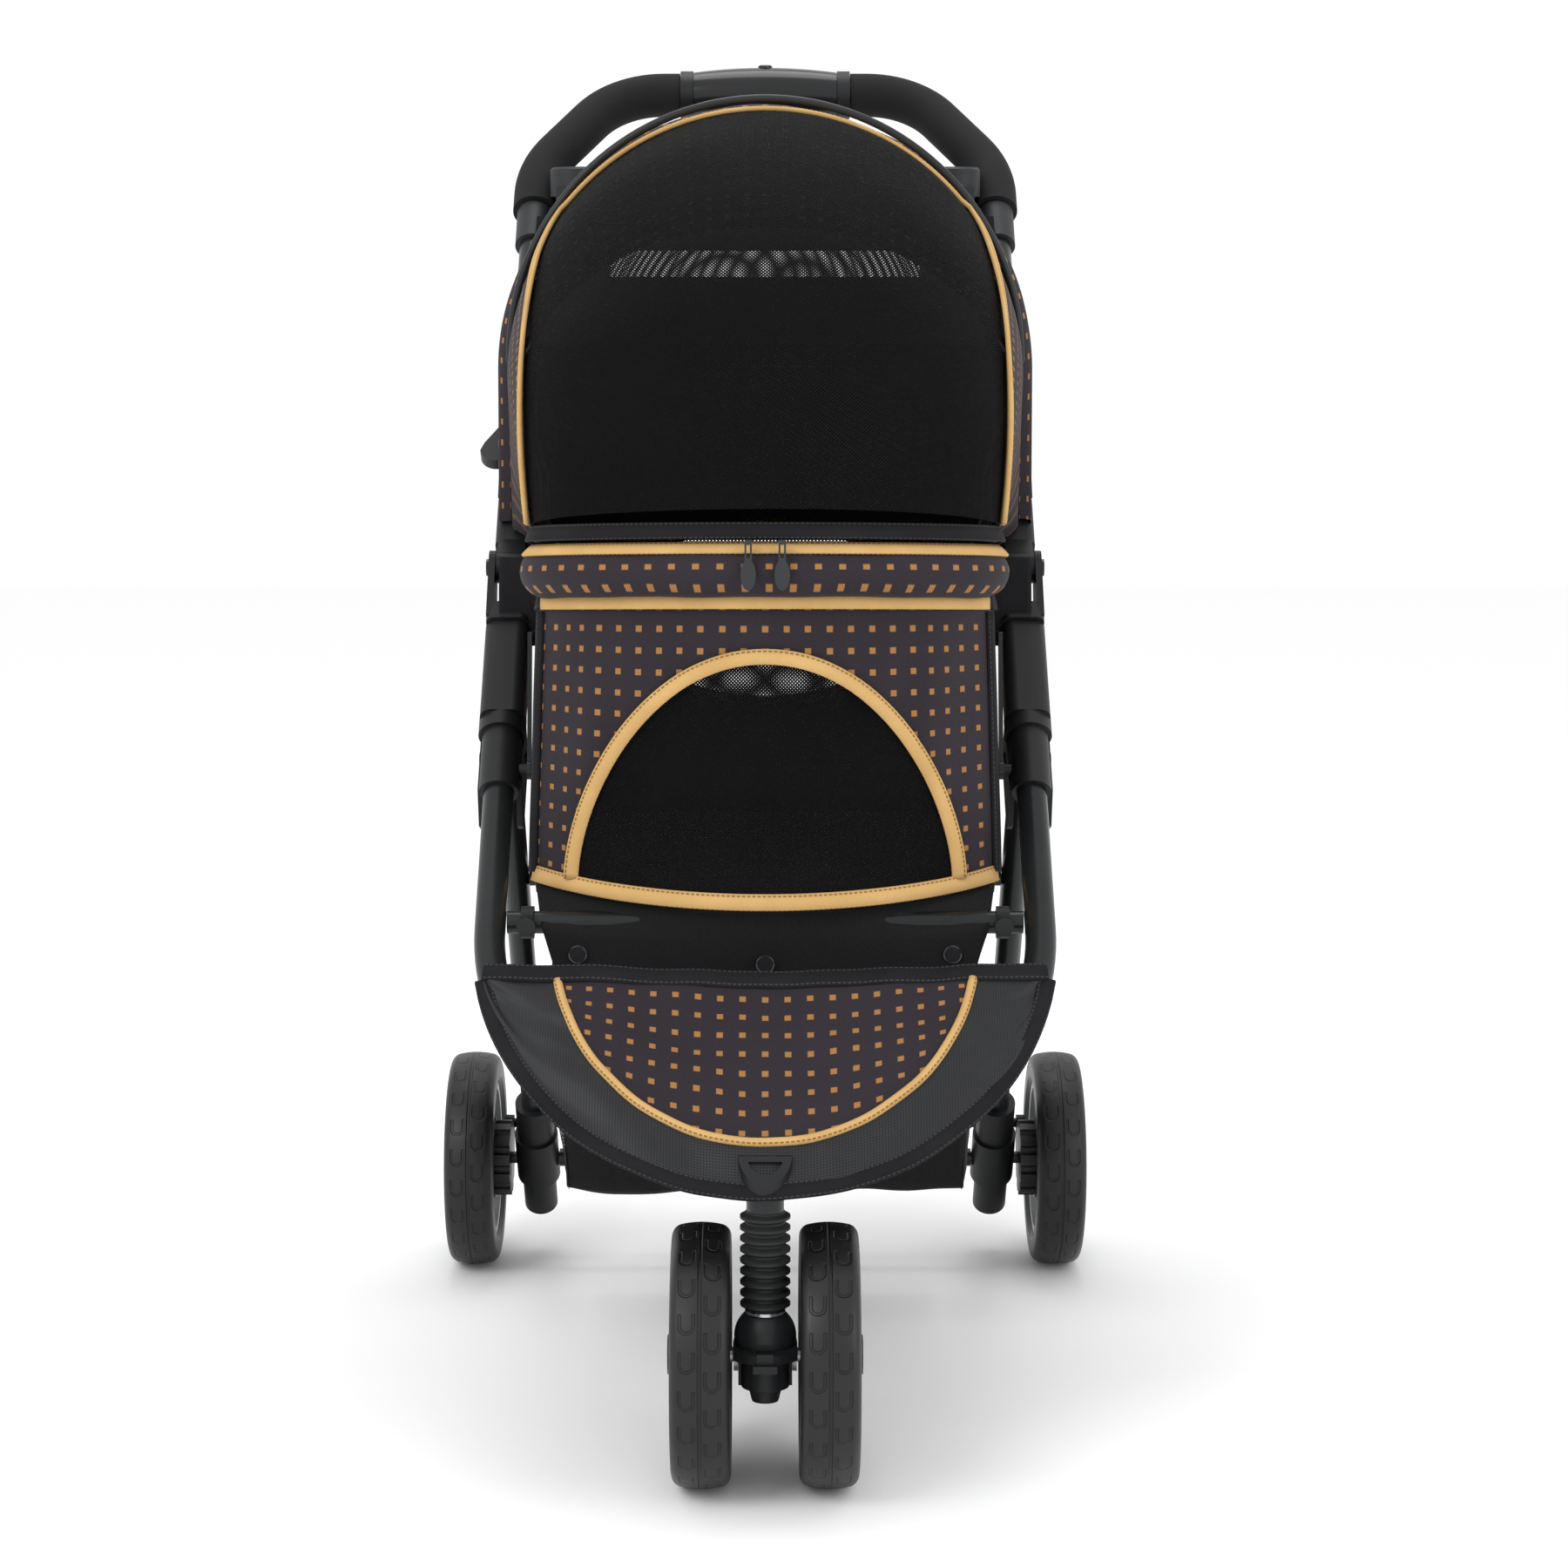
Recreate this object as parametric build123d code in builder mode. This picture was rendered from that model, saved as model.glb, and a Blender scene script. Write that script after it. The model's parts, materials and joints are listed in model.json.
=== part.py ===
"""Three-wheeled pet stroller, built as separate pieces around a folding tube frame.

Row frame: +Z up, -Y towards the front wheels, +X to the right seen from the front, in millimetres.
The origin is on the ground, under the middle of the whole stroller's box.
The front legs and the handle tubes lie on one plane that leans back at 45 degrees. Points on it are
given as (x, u, n): u runs up and back along the tubes, and n stands up and forward off the plane.
"""

import os
from math import acos, asin, cos, degrees, hypot, radians, sin, sqrt

from build123d import *

os.makedirs("parts", exist_ok=True)

# Driving dimensions
WHEEL_R = 89.0
TYRE_WIDTH = 40.0
RIM_SEAT_R = 66.0
AXLE_R = 5.0
RUNNING_GAP = 0.05
FRONT_AXLE = (-349.0, WHEEL_R)  # (y, z)
REAR_AXLE = (211.0, WHEEL_R)
FRONT_WHEEL_X = 43.0
REAR_WHEEL_X = 244.0

LEAN = sqrt(0.5)  # sine and cosine of the frame's 45 degree lean
FRAME_ORIGIN = (-213.0, 365.0)  # (y, z) of u = 0, n = 0
TUBE_R = 11.0
TUBE_BORE_R = 9.5
TUBE_X = 194.0
SLIP = 0.1  # gap of a tube in a moulded socket

BOW_START_U = -10.0
CROSSBAR_UN = (0.0, -5.0)
CROSSBAR_R = 8.0
LEG_PIVOT_UN = (165.0, -30.0)
REAR_LEG_R = 10.0
FOLD_PIVOT_UN = (318.0, 14.0)
CANOPY_PIVOT_UN = (345.0, 0.0)
LINK_PIVOT_UN = (133.0, 0.0)
PIN_R = 4.0

SWIVEL_Y = -376.0
CABIN_HALF = 166.0
FLOOR_Z = 371.0
WALL = 4.0
RING_TILT = 4.5  # degrees that the bumper ring rises towards the front
RING_ORIGIN = (31.0, 591.0)  # (y, z) on the ring's plane
ROLL_HALF = (20.0, 19.0)

HANDLE_CORNER_U = 780.0
HANDLE_BAR_U = 879.0
HANDLE_BEND_X = 128.0
GRIP_R = 18.5
HOUSING_HALF = 62.0

CANOPY_ARCH_R = 195.0  # centre line of the front bow's half circle
REAR_ARCH_R = 186.0
CANOPY_ARCH_CENTRE = 149.0  # its distance from the canopy pivot
REAR_BOW_DEG = 60.0
FRONT_BOW_DEG = 92.0

BRAKE_AXIS = (47.0, 25.0)  # distance and angle from the rear axle
BRAKE_LOBES = 12
BRAKE_RING_R = 31.5
BRAKE_TRAVEL = 10.0

SIDES = (-1, 1)


def yz(u, n):
    """Row-frame (y, z) of a point on the leaning plane."""
    return FRAME_ORIGIN[0] + LEAN * (u - n), FRAME_ORIGIN[1] + LEAN * (u + n)


def on_frame(x, u, n):
    """Row-frame point of (x, u, n)."""
    return (x, *yz(u, n))


FRAME = Plane(origin=on_frame(0, 0, 0), x_dir=(1, 0, 0), z_dir=(0, -LEAN, LEAN))
RING = Plane(
    origin=(0, *RING_ORIGIN),
    x_dir=(1, 0, 0),
    z_dir=(0, sin(radians(RING_TILT)), cos(radians(RING_TILT))),
)
UP_FRAME = (0, LEAN, LEAN)


def across_frame(x, u, n):
    """Plane square to the tubes at (x, u, n). Its normal runs up the tubes, its x is the row's x."""
    return Plane(origin=on_frame(x, u, n), x_dir=(1, 0, 0), z_dir=UP_FRAME)


def side_plane(x):
    """Plane square to the row's x, with its own x along the row's +Y and its own y along +Z."""
    return Plane(origin=(x, 0, 0), x_dir=(0, 1, 0), z_dir=(1, 0, 0))


def save(made, name):
    made.part.label = name
    export_step(made.part, f"parts/{name}.step")


def lean_points(*pairs):
    return [yz(u, n) for u, n in pairs]


# ---------------------------------------------------------------- front frame
LEG_TOP_U = 262.0

with BuildPart() as front_legs:
    for side in SIDES:
        with BuildSketch(across_frame(side * TUBE_X, BOW_START_U, 0)):
            Circle(TUBE_R)
            Circle(TUBE_BORE_R, mode=Mode.SUBTRACT)
        extrude(amount=LEG_TOP_U - BOW_START_U)
save(front_legs, "front_legs")

with BuildPart() as front_bow:
    with BuildLine(FRAME) as bow_path:
        CenterArc((0, BOW_START_U), TUBE_X, 180, 180)
    with BuildSketch(across_frame(-TUBE_X, BOW_START_U, 0)):
        Circle(TUBE_R)
        Circle(TUBE_BORE_R, mode=Mode.SUBTRACT)
    sweep()
save(front_bow, "front_bow")

CROSSBAR_Y, CROSSBAR_Z = yz(*CROSSBAR_UN)
CROSSBAR_HALF = 182.5

with BuildPart() as front_crossbar:
    with BuildSketch(side_plane(-CROSSBAR_HALF)):
        with Locations((CROSSBAR_Y, CROSSBAR_Z)):
            Circle(CROSSBAR_R)
            Circle(CROSSBAR_R - 1.5, mode=Mode.SUBTRACT)
    extrude(amount=2 * CROSSBAR_HALF)
save(front_crossbar, "front_crossbar")

CLAMP_X = 168.0
CLAMP_R = 11.5

with BuildPart() as crossbar_clamps:
    for side in SIDES:
        with BuildSketch(side_plane(side * CLAMP_X)):
            with Locations((CROSSBAR_Y, CROSSBAR_Z)):
                Circle(CLAMP_R)
            with Locations((CROSSBAR_Y - 11, CROSSBAR_Z)):
                Rectangle(12, 14)
            with Locations((CROSSBAR_Y, CROSSBAR_Z)):
                Circle(CROSSBAR_R + SLIP, mode=Mode.SUBTRACT)
        extrude(amount=4.5, both=True)
        with BuildSketch(Plane.XZ.offset(-CROSSBAR_Y + 17)):
            with Locations((side * CLAMP_X, CROSSBAR_Z)):
                Circle(6.5)
        extrude(amount=3.5)
save(crossbar_clamps, "crossbar_clamps")

# Moulded sleeves at the middle of the frame: each holds a front leg and the rear leg's pivot.
SLEEVE_BOTTOM_U, SLEEVE_STEP_U, SLEEVE_TOP_U = 112.0, 172.0, 262.0
FORK_INNER, FORK_OUTER = 12.0, 16.0  # from the tube's centre, in x

with BuildPart() as joint_sleeves:
    for side in SIDES:
        x = side * TUBE_X
        with BuildSketch(across_frame(x, SLEEVE_BOTTOM_U, 0)):
            Circle(14.5)
        extrude(amount=SLEEVE_STEP_U - SLEEVE_BOTTOM_U)
        with BuildSketch(across_frame(x, SLEEVE_STEP_U - 8, 0)):
            Circle(17.5)
        extrude(amount=16)
        with BuildSketch(across_frame(x, SLEEVE_STEP_U + 4, 0)):
            RectangleRounded(33, 35, 9)
        extrude(amount=SLEEVE_TOP_U - SLEEVE_STEP_U - 4)
        for cheek in SIDES:
            with BuildSketch(side_plane(x + cheek * (FORK_INNER + FORK_OUTER) / 2)):
                with BuildLine():
                    Polyline(
                        *lean_points((118, -4), (190, -4), (182, -38), (167, -46), (112, -44), (104, -30)),
                        close=True,
                    )
                make_face()
            extrude(amount=(FORK_OUTER - FORK_INNER) / 2, both=True)
        for cut_u, cut_length in ((SLEEVE_BOTTOM_U - 1, SLEEVE_TOP_U - SLEEVE_BOTTOM_U + 2),):
            with BuildSketch(across_frame(x, cut_u, 0)):
                Circle(TUBE_R + SLIP)
            extrude(amount=cut_length, mode=Mode.SUBTRACT)
        with BuildSketch(side_plane(x - 20)):
            with Locations(yz(*LEG_PIVOT_UN)):
                Circle(PIN_R)
        extrude(amount=40, mode=Mode.SUBTRACT)
        # Stub that the side link turns on
        with BuildSketch(side_plane(x - side * 14)):
            with Locations(yz(*LINK_PIVOT_UN)):
                Circle(4.5)
        extrude(amount=-side * 11)
save(joint_sleeves, "joint_sleeves")

# Fold hinge brackets: a plug on each leg's top and two cheeks around the hinge block.
CHEEK_GAP, CHEEK_OUT = 11.0, 16.0

with BuildPart() as hinge_brackets:
    for side in SIDES:
        x = side * TUBE_X
        with BuildSketch(across_frame(x, SLEEVE_TOP_U + 0.3, 3)):
            RectangleRounded(2 * CHEEK_OUT, 36, 6)
        extrude(amount=16)
        for cheek in SIDES:
            with BuildSketch(side_plane(x + cheek * (CHEEK_GAP + CHEEK_OUT) / 2)):
                with BuildLine():
                    Polyline(
                        *lean_points((SLEEVE_TOP_U + 4, -14), (SLEEVE_TOP_U + 4, 20), (320, 27), (320, 1), (290, -14)),
                        close=True,
                    )
                make_face()
                with Locations(yz(*FOLD_PIVOT_UN)):
                    Circle(13)
            extrude(amount=(CHEEK_OUT - CHEEK_GAP) / 2, both=True)
        with BuildSketch(side_plane(x - 20)):
            with Locations(yz(*FOLD_PIVOT_UN)):
                Circle(PIN_R)
        extrude(amount=40, mode=Mode.SUBTRACT)
save(hinge_brackets, "hinge_brackets")

PIN_HEAD_R, PIN_HEAD = 6.5, 2.5

with BuildPart() as pivot_pins:
    for side in SIDES:
        for centre in (yz(*FOLD_PIVOT_UN), yz(*LEG_PIVOT_UN)):
            for start, length, radius in (
                (-CHEEK_OUT, 2 * CHEEK_OUT, PIN_R),
                (CHEEK_OUT, PIN_HEAD, PIN_HEAD_R),
                (-CHEEK_OUT - PIN_HEAD, PIN_HEAD, PIN_HEAD_R),
            ):
                with BuildSketch(side_plane(side * TUBE_X + start)):
                    with Locations(centre):
                        Circle(radius)
                extrude(amount=length)
save(pivot_pins, "pivot_pins")

# Hub that joins the bow to the front wheel's upright stem.
BOW_FOOT = yz(BOW_START_U - TUBE_X, 0)
STEM_R = 12.5
STEM_BOTTOM, STEM_TOP = 196.0, 210.0
APRON_UNDER = 24.0  # n of the apron's underside

with BuildPart() as front_hub:
    with BuildSketch(Plane.XY.offset(206)):
        with Locations((0, SWIVEL_Y)):
            Circle(18)
    extrude(amount=27)
    with BuildSketch(across_frame(0, BOW_START_U - TUBE_X - 16, 0)):
        RectangleRounded(46, 28, 8)
    extrude(amount=32)
    with BuildLine(FRAME):
        CenterArc((0, BOW_START_U), TUBE_X, 255, 30)
    with BuildSketch(
        Plane(
            origin=FRAME.from_local_coords(
                (TUBE_X * cos(radians(255)), BOW_START_U + TUBE_X * sin(radians(255)), 0)
            ),
            z_dir=FRAME.x_dir * sin(radians(75)) - Vector(*UP_FRAME) * cos(radians(75)),
        )
    ):
        Circle(TUBE_R + SLIP)
    sweep(mode=Mode.SUBTRACT)
    with BuildSketch(Plane.XY.offset(200)):
        with Locations((0, SWIVEL_Y)):
            Circle(STEM_R + SLIP)
    extrude(amount=30, mode=Mode.SUBTRACT)
    with BuildSketch(FRAME.offset(APRON_UNDER - 0.5)):
        with Locations((0, BOW_START_U - TUBE_X)):
            Rectangle(80, 120)
    extrude(amount=60, mode=Mode.SUBTRACT)
save(front_hub, "front_hub")

PISTON_R = 7.0
PISTON_BOTTOM, PISTON_TOP = 108.0, 216.0

with BuildPart() as stem_tube:
    with BuildSketch(Plane.XY.offset(STEM_BOTTOM)):
        with Locations((0, SWIVEL_Y)):
            Circle(STEM_R)
            Circle(PISTON_R + RUNNING_GAP, mode=Mode.SUBTRACT)
    extrude(amount=STEM_TOP - STEM_BOTTOM)
save(stem_tube, "stem_tube")

# Rubber bellows over the front spring
BELLOWS_BOTTOM, BELLOWS_TOP, BELLOWS_RIDGES = 129.0, 195.7, 9
pitch = (BELLOWS_TOP - BELLOWS_BOTTOM) / BELLOWS_RIDGES

with BuildPart() as bellows:
    with BuildSketch(Plane.XZ.offset(-SWIVEL_Y)):
        with BuildLine():
            outer = [(13.0, BELLOWS_BOTTOM)]
            for ridge in range(BELLOWS_RIDGES):
                low = BELLOWS_BOTTOM + ridge * pitch
                outer += [(13.3, low + 0.1 * pitch), (16.8, low + 0.38 * pitch)]
                outer += [(16.8, low + 0.62 * pitch), (13.3, low + 0.9 * pitch)]
            outer += [(13.0, BELLOWS_TOP), (11.6, BELLOWS_TOP), (11.6, BELLOWS_BOTTOM)]
            Polyline(*outer, close=True)
        make_face()
    revolve(axis=Axis((0, SWIVEL_Y, 0), (0, 0, 1)))
save(bellows, "bellows")

SPRING_R, SPRING_WIRE, SPRING_TURNS = 9.6, 1.1, 8

with BuildPart() as suspension_spring:
    spring_height = BELLOWS_TOP - BELLOWS_BOTTOM - 4 * SPRING_WIRE
    with BuildLine(Plane((0, SWIVEL_Y, BELLOWS_BOTTOM + 2 * SPRING_WIRE))) as coil:
        Helix(spring_height / SPRING_TURNS, spring_height, SPRING_R)
    with BuildSketch(Plane(origin=coil.wire() @ 0, z_dir=coil.wire() % 0)):
        Circle(SPRING_WIRE)
    sweep()
save(suspension_spring, "suspension_spring")

# ---------------------------------------------------------------- front wheel fork
with BuildPart() as piston_rod:
    with BuildSketch(Plane.XY.offset(PISTON_BOTTOM)):
        with Locations((0, SWIVEL_Y)):
            Circle(PISTON_R)
    extrude(amount=PISTON_TOP - PISTON_BOTTOM)
    with BuildSketch(Plane.XY.offset(126.5)):
        with Locations((0, SWIVEL_Y)):
            Circle(13.5)
    extrude(amount=2)
save(piston_rod, "piston_rod")

FORK_HALF = 18.0

with BuildPart() as caster_housing:
    with BuildSketch(Plane.XZ.offset(-SWIVEL_Y)):
        with BuildLine():
            Polyline((0, 66), (9, 66), (11, 74), (16, 76), (16, 97), (25, 97), (25, 103), (20, 105))
            ThreePointArc((20, 105), (20.5, 114), (14, 126))
            Polyline((14, 126), (0, 126), (0, 66))
        make_face()
    revolve(axis=Axis((0, SWIVEL_Y, 0), (0, 0, 1)))
    with BuildSketch(side_plane(-FORK_HALF)):
        with BuildLine():
            Polyline(
                (SWIVEL_Y, 76), (SWIVEL_Y, 100), (FRONT_AXLE[0] - 2, WHEEL_R + 12), (FRONT_AXLE[0] + 8, WHEEL_R + 9),
                (FRONT_AXLE[0] + 8, WHEEL_R - 9), (FRONT_AXLE[0] - 2, WHEEL_R - 12), close=True,
            )
        make_face()
        with Locations(FRONT_AXLE):
            Circle(12)
    extrude(amount=2 * FORK_HALF)
    # Flats beside the wheels
    for side in SIDES:
        with BuildSketch(side_plane(side * 21.5)):
            with Locations((SWIVEL_Y, 100)):
                Rectangle(60, 60)
        extrude(amount=side * 10, mode=Mode.SUBTRACT)
    with BuildSketch(side_plane(-FORK_HALF - 1)):
        with Locations(FRONT_AXLE):
            Circle(AXLE_R + SLIP)
    extrude(amount=2 * FORK_HALF + 2, mode=Mode.SUBTRACT)
    with BuildSketch(Plane.XY.offset(PISTON_BOTTOM - 0.5)):
        with Locations((0, SWIVEL_Y)):
            Circle(PISTON_R + RUNNING_GAP)
    extrude(amount=30, mode=Mode.SUBTRACT)
    # Guide of the swivel lock, on the front face
    with BuildSketch(Plane.XZ.offset(-SWIVEL_Y + 25.5)):
        with Locations((0, 100)):
            Rectangle(12, 20)
    extrude(amount=-9, mode=Mode.SUBTRACT)
save(caster_housing, "caster_housing")

# Slide that locks the front wheels straight ahead
with BuildPart() as swivel_lock:
    with BuildSketch(Plane.XZ.offset(-SWIVEL_Y + 25)):
        with Locations((0, 98)):
            Rectangle(11.4, 13)
    extrude(amount=-8)
    with BuildSketch(Plane.XZ.offset(-SWIVEL_Y + 29)):
        with Locations((0, 95)):
            Rectangle(16, 5)
    extrude(amount=-4)
save(swivel_lock, "swivel_lock")

with BuildPart() as front_axle:
    with BuildSketch(side_plane(-61)):
        with Locations(FRONT_AXLE):
            Circle(AXLE_R)
    extrude(amount=122)
    for side in SIDES:
        with BuildSketch(side_plane(side * (FORK_HALF + 0.3))):
            with Locations(FRONT_AXLE):
                Circle(11)
        extrude(amount=side * 3)
save(front_axle, "front_axle")


# ---------------------------------------------------------------- wheels
def tyre_solid(centre, wheel_x):
    """Foam tyre with a crowned tread and round shoulders, as a builder."""
    half = TYRE_WIDTH / 2
    with BuildPart() as made:
        with BuildSketch(Plane(origin=(wheel_x, *centre), x_dir=(1, 0, 0), z_dir=(0, -1, 0))):
            with BuildLine():
                Polyline((-half + 3, RIM_SEAT_R), (-half, RIM_SEAT_R + 3), (-half, WHEEL_R - 10))
                ThreePointArc((-half, WHEEL_R - 10), (-half + 2.1, WHEEL_R - 4), (-half + 7, WHEEL_R - 1.4))
                ThreePointArc((-half + 7, WHEEL_R - 1.4), (0, WHEEL_R), (half - 7, WHEEL_R - 1.4))
                ThreePointArc((half - 7, WHEEL_R - 1.4), (half - 2.1, WHEEL_R - 4), (half, WHEEL_R - 10))
                Polyline((half, WHEEL_R - 10), (half, RIM_SEAT_R + 3), (half - 3, RIM_SEAT_R), (-half + 3, RIM_SEAT_R))
            make_face()
        revolve(axis=Axis((wheel_x, *centre), (1, 0, 0)))
    return made


SPOKES = 6
HUB_R = 15.0


def rim_solid(centre, wheel_x, ring_side=0):
    """Spoked rim. ring_side is the side of the scalloped brake ring: -1, 1, or 0 for none."""
    face = Plane(origin=(wheel_x, *centre), x_dir=(0, 1, 0), z_dir=(1, 0, 0))
    with BuildPart() as made:
        with BuildSketch(face):
            Circle(RIM_SEAT_R - 0.05)
            Circle(RIM_SEAT_R - 7, mode=Mode.SUBTRACT)
        extrude(amount=16.5, both=True)
        with BuildSketch(face):
            Circle(HUB_R)
        extrude(amount=19, both=True)
        with BuildSketch(face):
            with PolarLocations((RIM_SEAT_R - 5 + HUB_R - 3) / 2, SPOKES):
                Rectangle(RIM_SEAT_R - HUB_R - 2, 15)
        extrude(amount=5.5, both=True)
        with BuildSketch(face):
            Circle(RIM_SEAT_R - 6)
            Circle(HUB_R - 2, mode=Mode.SUBTRACT)
        extrude(amount=1.5, both=True)
        if ring_side:
            ring_face = Plane(origin=(wheel_x + ring_side * 5, *centre), x_dir=(0, 1, 0), z_dir=(1, 0, 0))
            with BuildSketch(ring_face):
                Circle(BRAKE_RING_R)
                with PolarLocations(BRAKE_RING_R, BRAKE_LOBES, start_angle=SCALLOP_DEG):
                    Circle(4, mode=Mode.SUBTRACT)
            extrude(amount=ring_side * 25)
            with BuildSketch(ring_face):
                Circle(BRAKE_RING_R + 2)
            extrude(amount=ring_side * 12)
        with BuildSketch(face.offset(-40)):
            Circle(AXLE_R + RUNNING_GAP)
        extrude(amount=80, mode=Mode.SUBTRACT)
        cap_side = -ring_side if ring_side else (1 if wheel_x > 0 else -1)
        with BuildSketch(face.offset(cap_side * 19)):
            Circle(HUB_R)
        extrude(amount=cap_side * 4, taper=25)
    return made


# Brake geometry: the tooth sits clear of the ring at rest, and drops into a scallop after BRAKE_TRAVEL.
TOOTH_R = 2.6
ARM_WIDTH = 5.0
TOOTH_SEAT_R = BRAKE_RING_R - 0.5
BRAKE_SWING = degrees(acos(TOOTH_SEAT_R / BRAKE_AXIS[0]))
TOOTH_SEAT_DEG = BRAKE_AXIS[1] - BRAKE_SWING
SCALLOP_DEG = TOOTH_SEAT_DEG % (360 / BRAKE_LOBES)
BRAKE_ARM = sqrt(BRAKE_AXIS[0] ** 2 - TOOTH_SEAT_R**2)
BRAKE_YZ = (
    REAR_AXLE[0] + BRAKE_AXIS[0] * cos(radians(BRAKE_AXIS[1])),
    REAR_AXLE[1] + BRAKE_AXIS[0] * sin(radians(BRAKE_AXIS[1])),
)
TOOTH_REST_DEG = TOOTH_SEAT_DEG - 90 + BRAKE_TRAVEL
TOOTH_YZ = (
    BRAKE_YZ[0] + BRAKE_ARM * cos(radians(TOOTH_REST_DEG)),
    BRAKE_YZ[1] + BRAKE_ARM * sin(radians(TOOTH_REST_DEG)),
)

for label, side in (("left", -1), ("right", 1)):
    save(tyre_solid(FRONT_AXLE, side * FRONT_WHEEL_X), f"front_tyre_{label}")
    save(rim_solid(FRONT_AXLE, side * FRONT_WHEEL_X), f"front_rim_{label}")
    save(tyre_solid(REAR_AXLE, side * REAR_WHEEL_X), f"rear_tyre_{label}")
    save(rim_solid(REAR_AXLE, side * REAR_WHEEL_X, -side), f"rear_rim_{label}")

# ---------------------------------------------------------------- rear legs, axle and brake
REAR_X = 192.0
LEG_PIVOT = yz(*LEG_PIVOT_UN)
LEG_LENGTH = hypot(REAR_AXLE[0] - LEG_PIVOT[0], REAR_AXLE[1] - LEG_PIVOT[1])
LEG_DIR = (0, (REAR_AXLE[0] - LEG_PIVOT[0]) / LEG_LENGTH, (REAR_AXLE[1] - LEG_PIVOT[1]) / LEG_LENGTH)


def on_leg(x, t):
    """Point t along the rear leg's axis from its pivot."""
    return (x, LEG_PIVOT[0] + LEG_DIR[1] * t, LEG_PIVOT[1] + LEG_DIR[2] * t)


def across_leg(x, t):
    return Plane(origin=on_leg(x, t), x_dir=(1, 0, 0), z_dir=LEG_DIR)


with BuildPart() as rear_legs:
    for side in SIDES:
        with BuildSketch(across_leg(side * REAR_X, 10)):
            Circle(REAR_LEG_R)
        extrude(amount=LEG_LENGTH - 46)
        with BuildSketch(across_leg(side * REAR_X, 24)):
            Circle(REAR_LEG_R - 1.5)
        extrude(amount=LEG_LENGTH - 50, mode=Mode.SUBTRACT)
        with BuildSketch(side_plane(side * TUBE_X - 11.5)):
            with Locations(LEG_PIVOT):
                Circle(12)
        extrude(amount=23)
        with BuildSketch(side_plane(side * TUBE_X - 20)):
            with Locations(LEG_PIVOT):
                Circle(PIN_R + RUNNING_GAP)
        extrude(amount=40, mode=Mode.SUBTRACT)
save(rear_legs, "rear_legs")

REAR_BAR_T = (LEG_PIVOT[1] - CROSSBAR_Z) / -LEG_DIR[2]
REAR_BAR = on_leg(0, REAR_BAR_T)[1:]
REAR_BAR_HALF = REAR_X - REAR_LEG_R - 0.4

with BuildPart() as rear_crossbar:
    with BuildSketch(side_plane(-REAR_BAR_HALF)):
        with Locations(REAR_BAR):
            Circle(CROSSBAR_R - 1)
            Circle(CROSSBAR_R - 2.5, mode=Mode.SUBTRACT)
    extrude(amount=2 * REAR_BAR_HALF)
save(rear_crossbar, "rear_crossbar")

with BuildPart() as rear_brackets:
    for side in SIDES:
        x = side * REAR_X
        for start, length, radius in ((-72, 41, 15.5), (-32, 52, 18), (19, 41, 14)):
            with BuildSketch(across_leg(x, LEG_LENGTH + start)):
                Circle(radius)
            extrude(amount=length)
        # Lug for the brake bar
        with BuildSketch(side_plane(x - 6)):
            with BuildLine():
                Polyline(
                    (REAR_AXLE[0] + 2, REAR_AXLE[1] + 16), (BRAKE_YZ[0] - 4, BRAKE_YZ[1] + 8),
                    (BRAKE_YZ[0] + 4, BRAKE_YZ[1] - 8), (REAR_AXLE[0] + 14, REAR_AXLE[1] - 8), close=True,
                )
            make_face()
            with Locations(BRAKE_YZ):
                Circle(8.5)
        extrude(amount=12)
        with BuildSketch(side_plane(x - 8)):
            with Locations(BRAKE_YZ):
                Circle(PIN_R + RUNNING_GAP)
        extrude(amount=16, mode=Mode.SUBTRACT)
        with BuildSketch(across_leg(x, LEG_LENGTH - 73)):
            Circle(REAR_LEG_R + SLIP)
        extrude(amount=38, mode=Mode.SUBTRACT)
        with BuildSketch(side_plane(x - 20)):
            with Locations(REAR_AXLE):
                Circle(AXLE_R + SLIP)
        extrude(amount=40, mode=Mode.SUBTRACT)
save(rear_brackets, "rear_brackets")

with BuildPart() as rear_axle:
    with BuildSketch(side_plane(-REAR_WHEEL_X - 18.5)):
        with Locations(REAR_AXLE):
            Circle(AXLE_R)
    extrude(amount=2 * REAR_WHEEL_X + 37)
    with BuildSketch(side_plane(-REAR_X + 18.5)):
        with Locations(REAR_AXLE):
            Circle(7.5)
    extrude(amount=2 * REAR_X - 37)
save(rear_axle, "rear_axle")

PEDAL_HALF = 38.0

with BuildPart() as brake_bar:
    with BuildSketch(side_plane(-222.5)):
        with Locations(BRAKE_YZ):
            Circle(PIN_R)
    extrude(amount=445)
    for side in SIDES:
        with BuildSketch(side_plane(side * 215)):
            with Locations(BRAKE_YZ):
                Circle(7)
            with Locations(TOOTH_YZ):
                Circle(TOOTH_R)
            # The arm runs outside the ring, so only the tooth goes into a scallop
            with Locations(Location((*BRAKE_YZ, 0), (0, 0, TOOTH_REST_DEG))):
                with Locations((BRAKE_ARM / 2 + 1, 1.3 + ARM_WIDTH / 2)):
                    Rectangle(BRAKE_ARM + 2, ARM_WIDTH)
        extrude(amount=side * 7.5)
    with BuildSketch(side_plane(-PEDAL_HALF)):
        with BuildLine():
            Polyline(
                (BRAKE_YZ[0] - 3, BRAKE_YZ[1] + 6), (BRAKE_YZ[0] + 22, BRAKE_YZ[1] + 12),
                (BRAKE_YZ[0] + 52, BRAKE_YZ[1] + 10), (BRAKE_YZ[0] + 52, BRAKE_YZ[1] + 5),
                (BRAKE_YZ[0] + 22, BRAKE_YZ[1] + 5), (BRAKE_YZ[0] + 2, BRAKE_YZ[1] - 6), close=True,
            )
        make_face()
        with Locations(BRAKE_YZ):
            Circle(8)
    extrude(amount=2 * PEDAL_HALF)
save(brake_bar, "brake_bar")

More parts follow.
